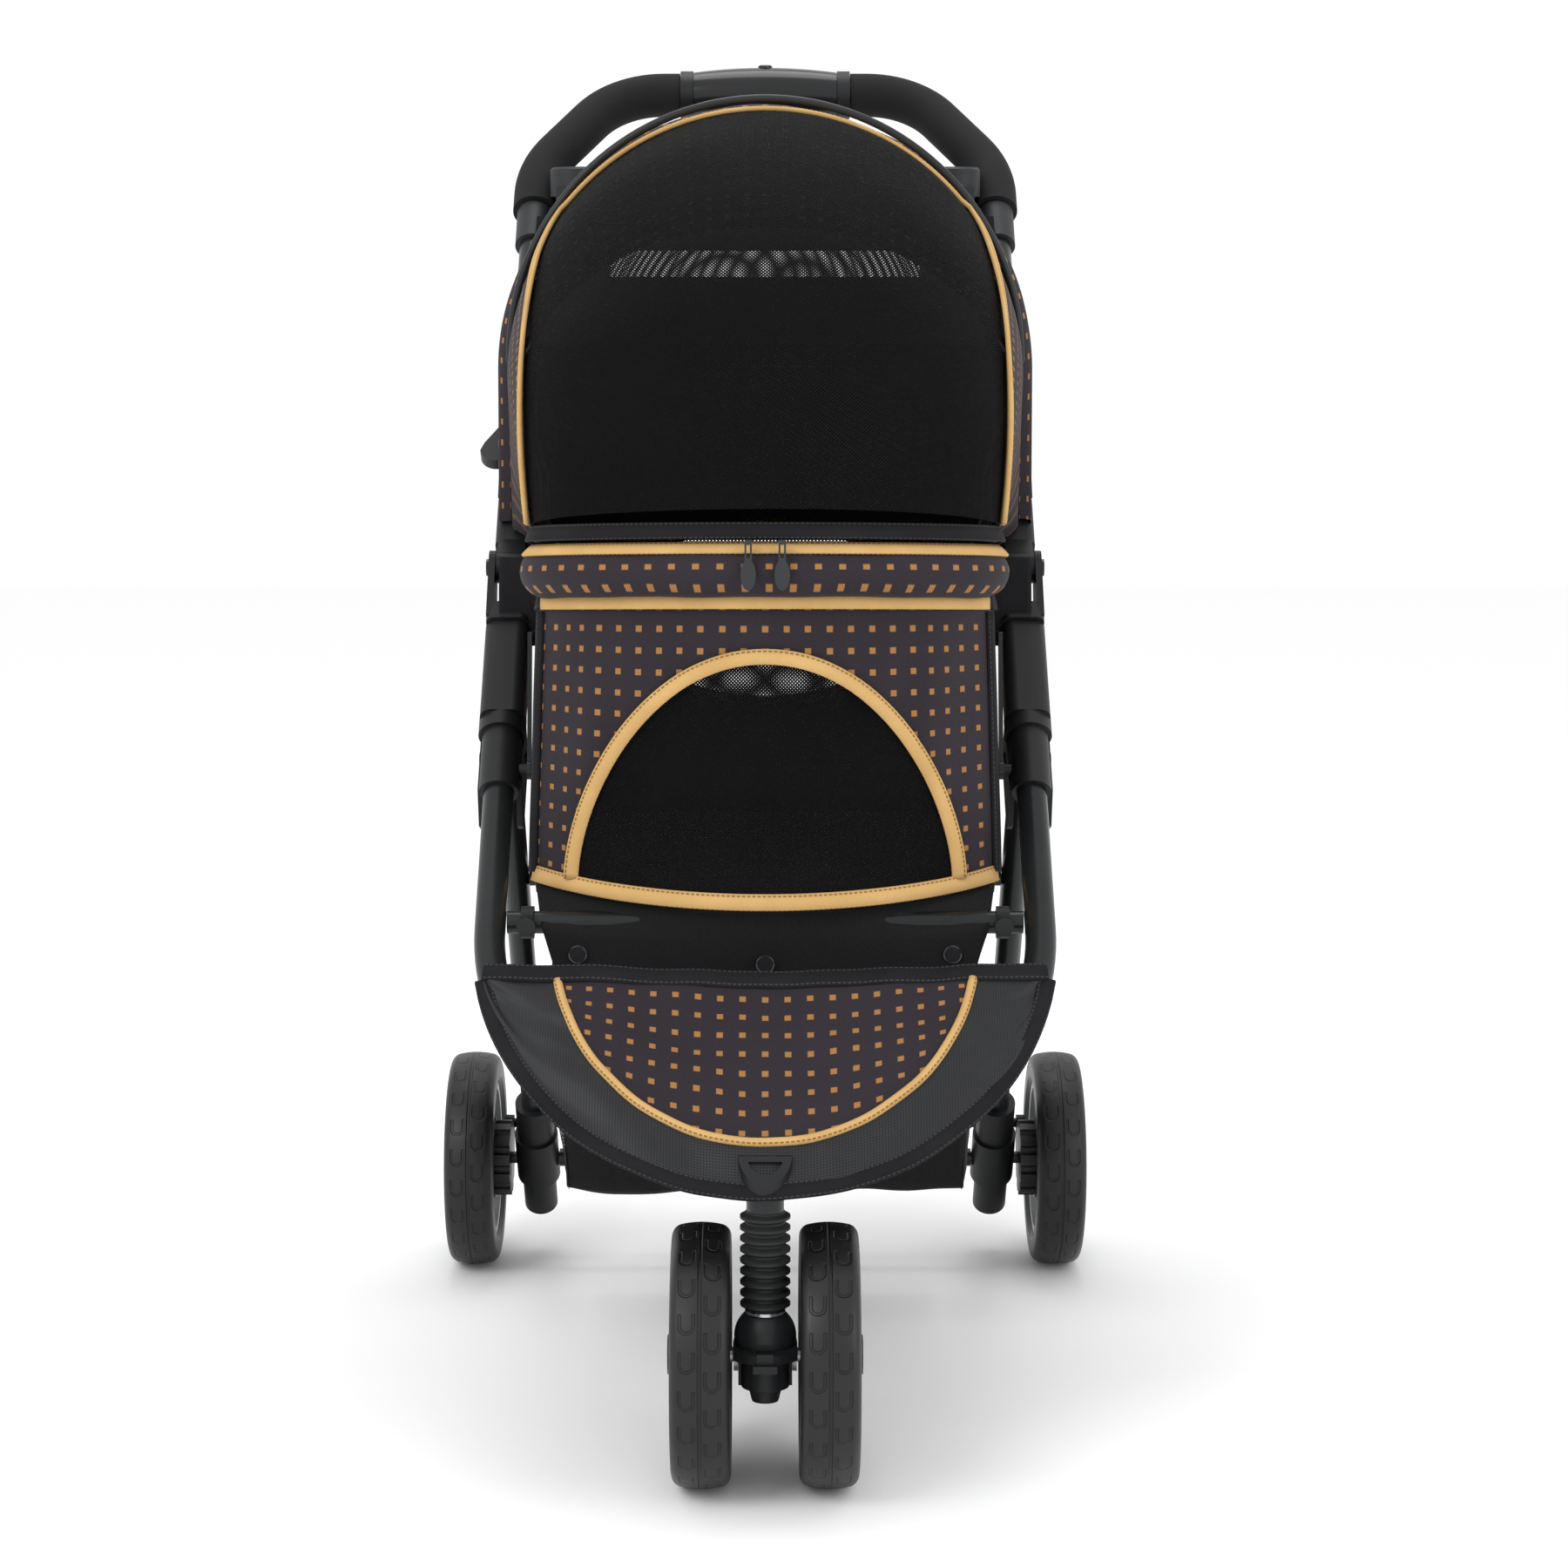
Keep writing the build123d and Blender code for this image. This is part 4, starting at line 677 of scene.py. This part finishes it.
def back_point(u, v):
    z = FLOOR + (0.770 - FLOOR) * v
    x = (2 * u - 1) * (HALF - 0.001 + flare(z))
    bulge = 0.006 * math.sin(math.pi * v) * (1 - (2 * u - 1) ** 2)
    return Vector((x, BACK + bulge + rumple((u, v, 4), 0.2, 0.004), z))


OVAL, OVAL_Z = (0.122, 0.076), 0.552
LINING_GAP = 0.002


def in_oval(u, v):
    p = back_point(u, v)
    return (p.x / OVAL[0]) ** 2 + ((p.z - OVAL_Z) / OVAL[1]) ** 2 < 1


back_cloth = grid("cabin_back_cloth", back_point, 110, 130, [dotted], keep=lambda u, v: not in_oval(u, v))
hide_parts("cabin_back_panel")
squashed(cloth(back_cloth, "stretched", ["rear_legs"]))
back_lining = grid(
    "cabin_back_lining", lambda u, v: back_point(u, v) - Vector((0, LINING_GAP, 0)), 110, 130, [black_cloth],
    keep=lambda u, v: not in_oval(u, v),
)
squashed(cloth(back_lining, "stretched", ["rear_legs"]))
oval_net = grid("rear_window_net", back_point, 110, 130, [net], keep=in_oval)
squashed(cloth(oval_net, "stretched", ["rear_legs"], (2 * OVAL[0], 2 * OVAL[1])))
oval = []
for k in range(61):
    a = 2 * math.pi * k / 60
    oval.append(Vector((OVAL[0] * math.cos(a), BACK + 0.008, OVAL_Z + OVAL[1] * math.sin(a))))
squashed(tape("rear_window_binding", oval, (0, 1, 0), 0.011, 0.003))


def floor_point(u, v):
    s = 2 * u - 1
    front = arc_y(s, SIDE_EDGE, MIDDLE) + 0.004
    y = front + (BACK - 0.002 - front) * v
    return Vector((s * (HALF - 0.004), y, FLOOR + 0.001 + rumple((u * 2, v * 2, 1), 0.3, 0.001)))


floor_cloth = grid("cabin_floor_cloth", floor_point, 30, 36, [black_cloth], thick=0.003)
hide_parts("cabin_floor")
squashed(cloth(floor_cloth, "stretched", ["front_crossbar", "rear_crossbar"]))

low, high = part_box("floor_pad")


def pad_point(u, v):
    s = 2 * u - 1
    front = arc_y(s, SIDE_EDGE, MIDDLE) + 0.009
    y = front + (high.y - front) * v
    edge = min(1.0, 7 * min(u, 1 - u), 7 * min(v, 1 - v)) ** 0.5
    tuft = 0.0
    for tu in (0.25, 0.5, 0.75):
        for tv in (0.22, 0.5, 0.78):
            d = math.hypot((u - tu) * 0.32, (v - tv) * 0.4)
            tuft += math.exp(-((d / 0.022) ** 2))
    z = low.z + 0.003 + (high.z - low.z - 0.002) * edge - 0.007 * tuft
    return Vector((s * high.x, y, z + rumple((u, v, 2), 0.15, 0.002)))


pad_top = grid("floor_pad_cushion", pad_point, 44, 54, [plush])[0]
bm = bmesh.new()
bm.from_mesh(pad_top.data)
rim_edges = [e for e in bm.edges if e.is_boundary]
made = bmesh.ops.extrude_edge_only(bm, edges=rim_edges)
for v in [g for g in made["geom"] if isinstance(g, bmesh.types.BMVert)]:
    v.co.z = low.z + 0.001
bmesh.ops.holes_fill(bm, edges=[e for e in bm.edges if e.is_boundary])
bm.to_mesh(pad_top.data)
bm.free()
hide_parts("floor_pad")
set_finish(pad_top, "pad_cloth")
squashed(pad_top)

# ---------------------------------------------------------------- bumper roll and zip
ROLL_X, ROLL_FRONT = 154.0, -298.0


def roll_section(share):
    wobble = 1 + 0.03 * math.sin(share * 46) * math.sin(share * 17 + 1)
    end = min(1.0, 30 * min(share, 1 - share) + 0.35) ** 0.5
    return round_section(0.0195 * wobble * end, 0.0185 * wobble * end, 28)


roll = sweep("bumper_roll_cover", ring_path(ROLL_X, ROLL_FRONT, 0), roll_section, RING_UP, dotted)
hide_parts("bumper_roll")
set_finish(roll, "dotted_fabric")
squashed(roll)
roll_middle = ring_path(ROLL_X, ROLL_FRONT, 0)
PIPING_OUT = 14.5  # how far the top piping sits out from and above the roll's middle, in mm
line = ring_path(ROLL_X + PIPING_OUT, ROLL_FRONT - PIPING_OUT, PIPING_OUT)
squashed(tape("bumper_top_binding", line, [a - b for a, b in zip(line, roll_middle)], 0.010, 0.003))

zip_tape = sweep(
    "zip_tape", ring_path(156, -300, 21.2), flat_section(0.016, 0.0014), RING_UP, mats["bellows_rubber"],
)
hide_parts("zipper")
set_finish(zip_tape, "zip_tape")
squashed(zip_tape)
# The zip's coil: a pair of small blocks at each step along the bumper
path = ring_path(160, -305, 23.0, count=240)
verts, faces = [], []
for centre, after in zip(path, path[1:]):
    t = (after - centre).normalized()
    side = t.cross(RING_UP).normalized()
    for k in range(2):
        base = len(verts)
        shift = side * (0.0016 if k else -0.0016)
        for dz in (-0.0009, 0.0009):
            for sx, sy in ((-0.0022, -0.0006), (0.0022, -0.0006), (0.0022, 0.0006), (-0.0022, 0.0006)):
                verts.append(centre + shift + side * sx + t * sy * 1.4 + RING_UP * dz)
        faces += [[base, base + 3, base + 2, base + 1], [base + 4, base + 5, base + 6, base + 7]]
        for q in range(4):
            r = (q + 1) % 4
            faces.append([base + q, base + r, base + 4 + r, base + 4 + q])
coil = mesh_object("zip_coil", verts, faces, smooth=False)
coil.data.materials.append(plain_material("zip_coil", rgb(20, 20, 22), 0.3, 400))
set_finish(coil, "zip_tape")
squashed(coil)

# ---------------------------------------------------------------- canopy
ARCH_C = 139.0


def canopy_ray(angle):
    return Vector((0, math.cos(angle), math.sin(angle)))


def arch_xy(t, half, centre, reach, foot):
    """Point (x, r) of a U-shaped arch at share t, from the left foot over the top to the right, in mm."""
    leg = max(0.0, centre - foot)
    bow = math.pi * (half + (reach - centre)) / 2
    total = 2 * leg + bow
    d = t * total
    if d < leg:
        return -half, foot + d
    if d > leg + bow:
        return half, foot + (total - d)
    a = math.pi * (1 - (d - leg) / bow)
    return half * math.cos(a), centre + (reach - centre) * math.sin(a)


def canopy_point(start, end, bulge=0.0):
    def point(u, v):
        degrees = start + (end - start) * v
        angle = math.radians(degrees)
        narrow = max(0.0, (degrees - 87.0) / 5.5) ** 2
        x, r = arch_xy(u, 206.0 - 10.5 * narrow, ARCH_C, 344.0 - 8.5 * narrow, 26.0)
        sag = bulge * math.sin(math.pi * v)
        scale = 1 - sag * min(1.0, r / 200)
        x *= 1 - sag * 0.7
        p = PIVOT + canopy_ray(angle) * (r * scale / 1000)
        p.x = x / 1000
        p += canopy_ray(angle) * rumple((u * 3, v, start), 0.35, 0.005)
        return p
    return point


rear_part = grid("canopy_rear_cloth", canopy_point(48.5, 62, 0.008), 150, 16, [dotted])
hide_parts("canopy_rear_panel")
cloth(rear_part, "stretched", ["canopy_rear_bow"])
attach(rear_part[0], "handle_frame")
front_part = grid("canopy_front_cloth", canopy_point(61.6, 92.5, 0.012), 150, 36, [dotted])
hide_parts("canopy_front_panel")
cloth(front_part, "stretched", ["canopy_front_bow", "canopy_rear_bow"])
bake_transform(front_part[0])


def hood_path(degrees, half, reach, foot, count=120):
    out = []
    for k in range(count + 1):
        x, r = arch_xy(k / count, half, ARCH_C, reach, foot)
        p = PIVOT + canopy_ray(math.radians(degrees)) * (r / 1000)
        p.x = x / 1000
        out.append(p)
    return out


def outward(p):
    return Vector((p.x, 0, p.z - PIVOT.z - 0.139)) + Vector((0, 1e-4, 0))


seam = tape("canopy_seam_tape", hood_path(62, 205.6, 343.6, 46), outward, 0.008, 0.0016, black_tape)
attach(seam, "handle_frame")

# Front net: a dome from the canopy's front edge to the zip on the bumper
# Sections of the dome: angle about the canopy pivot, half width, arch centre and reach, in degrees and mm
CUTS = (
    (93.0, 194.5, 139.0, 334.5), (118.0, 193.0, 146.0, 331.0), (145.0, 183.0, 172.0, 331.0),
    (171.5, 166.0, 205.0, 322.0),
)


def dome_row(v):
    """Section at share v between the canopy edge and the zip, on a cubic through CUTS."""
    angles = [c[0] for c in CUTS]
    degrees = angles[0] + (angles[-1] - angles[0]) * v
    values = []
    for k in (1, 2, 3):
        coeffs = np.polyfit(angles, [c[k] for c in CUTS], 3)
        values.append(float(np.polyval(coeffs, degrees)))
    return degrees, values


ROWS = [dome_row(j / 60) for j in range(61)]
DOME_FOOT = 22.0


def dome_at(u, v, row):
    degrees, (half, centre, reach) = row
    x, r = arch_xy(u, half, centre, reach, DOME_FOOT)
    pull = 0.012 * math.sin(math.pi * v)
    p = PIVOT + canopy_ray(math.radians(degrees)) * (r * (1 - pull) / 1000)
    p.x = x / 1000 * (1 - pull * 0.5)
    return p + canopy_ray(math.radians(degrees)) * rumple((u * 2, v * 2, 7), 0.4, 0.004)


def dome_point(u, v):
    return dome_at(u, v, ROWS[round(v * 60)])


def cheek_reach(v):
    """Reach in mm, from the pivot, of the dotted cheek beside the net, at share v."""
    t = math.sqrt(max(0.0, v))
    return 262.0 - 60.0 * t + 20.0 * t * t


def share_at_reach(r, row):
    """Share u, on the left side, where the arch of this row passes reach r."""
    half, centre, reach = row[1]
    leg = centre - DOME_FOOT
    bow = math.pi * (half + (reach - centre)) / 2
    turn = math.asin(min(1.0, (r - centre) / (reach - centre))) if r >= centre else 0.0
    d = r - DOME_FOOT if r < centre else leg + bow * turn / math.pi
    return d / (2 * leg + bow)


def in_cheek(u, v):
    row = dome_row(v)
    return min(u, 1 - u) < share_at_reach(cheek_reach(v), row)


dome = grid(
    "front_net", dome_point, 160, 60, [dense_net, dotted], pick=lambda u, v: 1 if in_cheek(u, v) else 0,
)
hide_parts("front_mesh")
cloth(dome, "stretched", ["canopy_front_bow", "bumper_roll_cover"])
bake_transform(dome[0])


def cheek_edge(v, side):
    row = dome_row(v)
    u = share_at_reach(cheek_reach(v), row)
    p = dome_at(u if side < 0 else 1 - u, v, row)
    return p + Vector((side * 0.003, -0.001, 0.0))


# The tan edge runs over the hood, then down each cheek to the zip
left = [cheek_edge((1 - k / 40) ** 2, -1) for k in range(41)]
right = [cheek_edge((k / 40) ** 2, 1) for k in range(41)]
over = [p for p in hood_path(93.2, 196.0, 336, 44) if (p - Vector((p.x, PIVOT.y, PIVOT.z))).length > 0.268]
edge_tape = tape("canopy_front_binding", left + over + right, outward, 0.013, 0.0036)
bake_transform(edge_tape)
hem_path = ring_path(167, -314, 26.5)
net_hem = tape("net_hem_binding", hem_path, lambda p: Vector((p.x * 4, -0.8, 0.4)), 0.012, 0.003, black_tape)
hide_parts("mesh_hem")
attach(net_hem, "mesh_hem")


def hood_rear_point(u, v):
    """Upper rear wall of the hood, from the cabin's back up to the parent tray."""
    p = on_frame((2 * u - 1) * (198 - 8 * v), 560 + 142 * v, -13 + 34 * v * v)
    return p + Vector((0, 0.004 * math.sin(math.pi * u), 0))


def in_vent(u, v):
    return abs(u - 0.5) < 0.34 and 0.64 < v < 0.80


rear_upper = grid(
    "hood_rear_cloth", hood_rear_point, 60, 50, [dotted, net], pick=lambda u, v: 1 if in_vent(u, v) else 0,
)
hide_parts("rear_upper_panel")
cloth(rear_upper, "stretched", ["handle_tubes"])
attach(rear_upper[0], "handle_frame")
rear_lining = grid(
    "hood_rear_lining", lambda u, v: hood_rear_point(u, v) - Vector((0, LINING_GAP, 0)), 60, 50,
    [black_cloth], keep=lambda u, v: not in_vent(u, v),
)
cloth(rear_lining, "stretched", ["handle_tubes"])
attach(rear_lining[0], "handle_frame")


# ---------------------------------------------------------------- apron
APRON_N = 27.0
APRON_C, APRON_R, APRON_TOP = -28.0, 206.0, -66.0
APRON_HALF = 202.5
APRON_NARROW = 0.962  # the apron is made a little narrower than its half disc
AIR_BAND = 0.80  # share of the radius where the air mesh begins
PIPING_R = 164.8


def apron_point(u, v):
    s = 2 * u - 1
    top = APRON_TOP + 8 * (s * s) - 2
    x = s * APRON_HALF
    low = APRON_C - math.sqrt(max(0.0, APRON_R**2 - min(abs(x), APRON_R) ** 2))
    low = min(low, top - 2)
    y = top + (low - top) * v
    d = math.hypot(x, y - APRON_C) / APRON_R
    lift = APRON_N - 26 * max(0.0, d - 0.72) ** 1.2 - 3 * math.exp(-((x / 60) ** 2)) * (1 - v)
    return on_frame(x * APRON_NARROW, y, lift - 4 + rumple((s * 2, v * 2, 9), 0.35, 3.0))


def outer_band(u, v):
    p = apron_point(u, v)
    x = p.x * 1000 / APRON_NARROW
    uu = ((p.y * 1000 + 213) + (p.z * 1000 - 365)) / 2 / LEAN
    return 1 if math.hypot(x * 1.065, uu - APRON_C + 6) > APRON_R * AIR_BAND else 0


apron = grid("apron_cloth", apron_point, 150, 70, [dotted, air_mesh], pick=outer_band, thick=0.0022)
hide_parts("front_apron")
cloth(apron, "stretched", ["front_bow"])
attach(apron[0], "front_frame")


def on_apron(x, uu, lift=1.5):
    top = APRON_TOP + 8 * (x / APRON_HALF) ** 2 - 2
    low = APRON_C - math.sqrt(max(0.0, APRON_R**2 - min(abs(x), APRON_R) ** 2))
    v = min(1.0, max(0.0, (uu - top) / (min(low, top - 2) - top)))
    return apron_point((x / APRON_HALF + 1) / 2, v) + FRAME_UP * (lift / 1000)


inner = []
for k in range(81):
    a = math.radians(192 + (348 - 192) * k / 80)
    inner.append(on_apron(152.0 * math.cos(a), APRON_C - 6 + PIPING_R * math.sin(a)))
pipe = sweep("apron_piping", inner, round_section(0.0032, count=10), FRAME_UP, tan)
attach(pipe, "front_frame")
outer = [apron_point(k / 120, 1.0) for k in range(121)]
edge = tape("apron_edge_binding", outer, FRAME_UP, 0.012, 0.004, black_tape)
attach(edge, "front_frame")
top_edge = [apron_point(k / 60, 0.0) + FRAME_UP * 0.001 for k in range(61)]
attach(tape("apron_top_binding", top_edge, FRAME_UP, 0.014, 0.004, black_tape), "front_frame")

# The bellows and the spring: copies on meshes of their own ride the front frame in place of the CAD's
for node in ("bellows", "suspension_spring"):
    low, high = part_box(node)
    soft = bpy.data.objects.new(f"{node}_soft", frame["nodes"][node].data.copy())
    soft.matrix_world = frame["nodes"][node].matrix_world.copy()
    scene.collection.objects.link(soft)
    soft.data.materials.clear()
    soft.data.materials.append(mats["bellows_rubber" if node == "bellows" else "frame_tube"])
    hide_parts(node)
    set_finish(soft, "bellows_rubber" if node == "bellows" else "frame_tube")
    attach(soft, "front_frame")
    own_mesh(soft)

# Webbing tabs that hold the cabin's upper corners to the frame, beside the bumper
for side, label in ((-1, "left"), (1, "right")):
    def tab_point(u, v):
        y = PIVOT.y - 0.058 - 0.012 * math.sin(math.pi * v)
        return Vector((side * (0.160 + 0.040 * u), y, PIVOT.z - 0.066 + 0.066 * v))

    tab = grid(f"cabin_tab_{label}", tab_point, 12, 16, [black_tape], thick=0.002)
    squashed(cloth(tab, "stretched", ["joint_sleeves"]))

# ---------------------------------------------------------------- storage basket
B_HALF = 0.150
# Around the side outline in (y, z): the front rim, the floor from front to back, and the back rim
OUTLINE = [
    (-0.197, 0.350), (-0.135, 0.235), (-0.078, 0.132), (0.030, 0.124), (0.150, 0.124), (0.163, 0.170),
    (0.172, 0.205),
]


def outline_at(t):
    d = t * (len(OUTLINE) - 1)
    i = min(int(d), len(OUTLINE) - 2)
    f = d - i
    a, b = OUTLINE[i], OUTLINE[i + 1]
    return a[0] + (b[0] - a[0]) * f, a[1] + (b[1] - a[1]) * f


def basket_point(u, v):
    """v runs from the front rim under the floor to the back rim, u across from side to side."""
    y, z = outline_at(v)
    s = 2 * u - 1
    sag = 0.008 * math.sin(math.pi * u) * math.sin(math.pi * v)
    y += rumple((u, v, 3), 0.2, 0.004)
    z = z + 0.002 - sag * 0.3 + rumple((u * 2, v * 3, 5), 0.3, 0.005)
    return Vector((s * B_HALF, y, z))


basket = grid("basket_cloth", basket_point, 50, 70, [black_cloth], thick=0.002)
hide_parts("storage_basket")
squashed(cloth(basket, "hung", ["front_crossbar", "rear_crossbar"]))


def basket_side(side):
    def point(u, v):
        y, z = outline_at(u)
        top_y, top_z = (a + (b - a) * u for a, b in zip(OUTLINE[0], OUTLINE[-1]))
        bulge = 0.006 * math.sin(math.pi * u) * math.sin(math.pi * v)
        x = B_HALF + bulge + rumple((u * 2, v * 2, side), 0.3, 0.004)
        return Vector((side * x, y + (top_y - y) * v, z + 0.002 + (top_z - z) * v))
    return point


for side, label in ((-1, "left"), (1, "right")):
    wall = grid(
        f"basket_side_{label}", basket_side(side), 60, 20, [net, black_cloth],
        pick=lambda u, v: 1 if v > 0.86 or v < 0.1 else 0,
    )
    squashed(cloth(wall, "hung", ["rear_legs"]))
    rim_line = [basket_side(side)(k / 20, 1.0) for k in range(1, 21)]
    squashed(tape(f"basket_rim_{label}", rim_line, (side, 0, 0), 0.014, 0.004, black_tape))

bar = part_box("front_crossbar")
bar_y, bar_z = (bar[0].y + bar[1].y) / 2, (bar[0].z + bar[1].z) / 2


def flap_point(u, v):
    """The flap hangs from just behind the cabin's front hem down past the crossbar."""
    s = 2 * u - 1
    top = front_point(u, 0.0) + Vector((0, 0.007, 0.002))
    low = Vector((s * (0.158 - 0.010 * abs(s) ** 6), bar_y - 0.0115, bar_z - 0.044 + 0.010 * abs(s) ** 6))
    bend = min(1.0, v / 0.45)
    p = Vector([a + (b - a) * t for a, b, t in zip(top, low, (v, bend, v))])
    return p + Vector((0, -0.0015 * math.sin(3 * u * math.pi) * v, rumple((s * 3, v, 6), 0.4, 0.002)))


flap = grid("basket_flap", flap_point, 60, 24, [black_cloth], thick=0.002)
cloth(flap, "hung", ["front_crossbar"])
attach(flap[0], "front_frame")
under = grid(
    "cabin_under_net", lambda u, v: front_point(u, 0.0) + Vector((0, 0.004 + 0.012 * v, -0.003 - 0.010 * v)),
    60, 6, [air_mesh],
)
squashed(cloth(under, "stretched", ["front_crossbar"]))

# ---------------------------------------------------------------- floor
bpy.ops.mesh.primitive_plane_add(size=14, location=(0, 2, 0))
ground = bpy.context.object
ground.name = "studio_floor"
ground_mat = bpy.data.materials.new("studio_floor")
ground_mat.use_nodes = True
ground_bsdf = ground_mat.node_tree.nodes["Principled BSDF"]
ground_bsdf.inputs["Base Color"].default_value = (0.96, 0.96, 0.96, 1)
ground_bsdf.inputs["Roughness"].default_value = 0.9
ground.data.materials.append(ground_mat)

# Every remaining piece names the slot it takes its finish from
SLOT_BY_MATERIAL = {
    "dotted_fabric": "dotted_fabric", "binding": "binding", "mesh_net": "mesh_net", "dense_net": "mesh_net",
    "air_mesh": "black_cloth", "black_cloth": "black_cloth", "black_tape": "black_cloth",
    "pad_cloth": "pad_cloth",
}
for o in scene.objects:
    if o.type == "MESH" and "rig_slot" not in o and o.data.materials and o is not ground:
        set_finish(o, SLOT_BY_MATERIAL.get(o.data.materials[0].name, "moulding"))
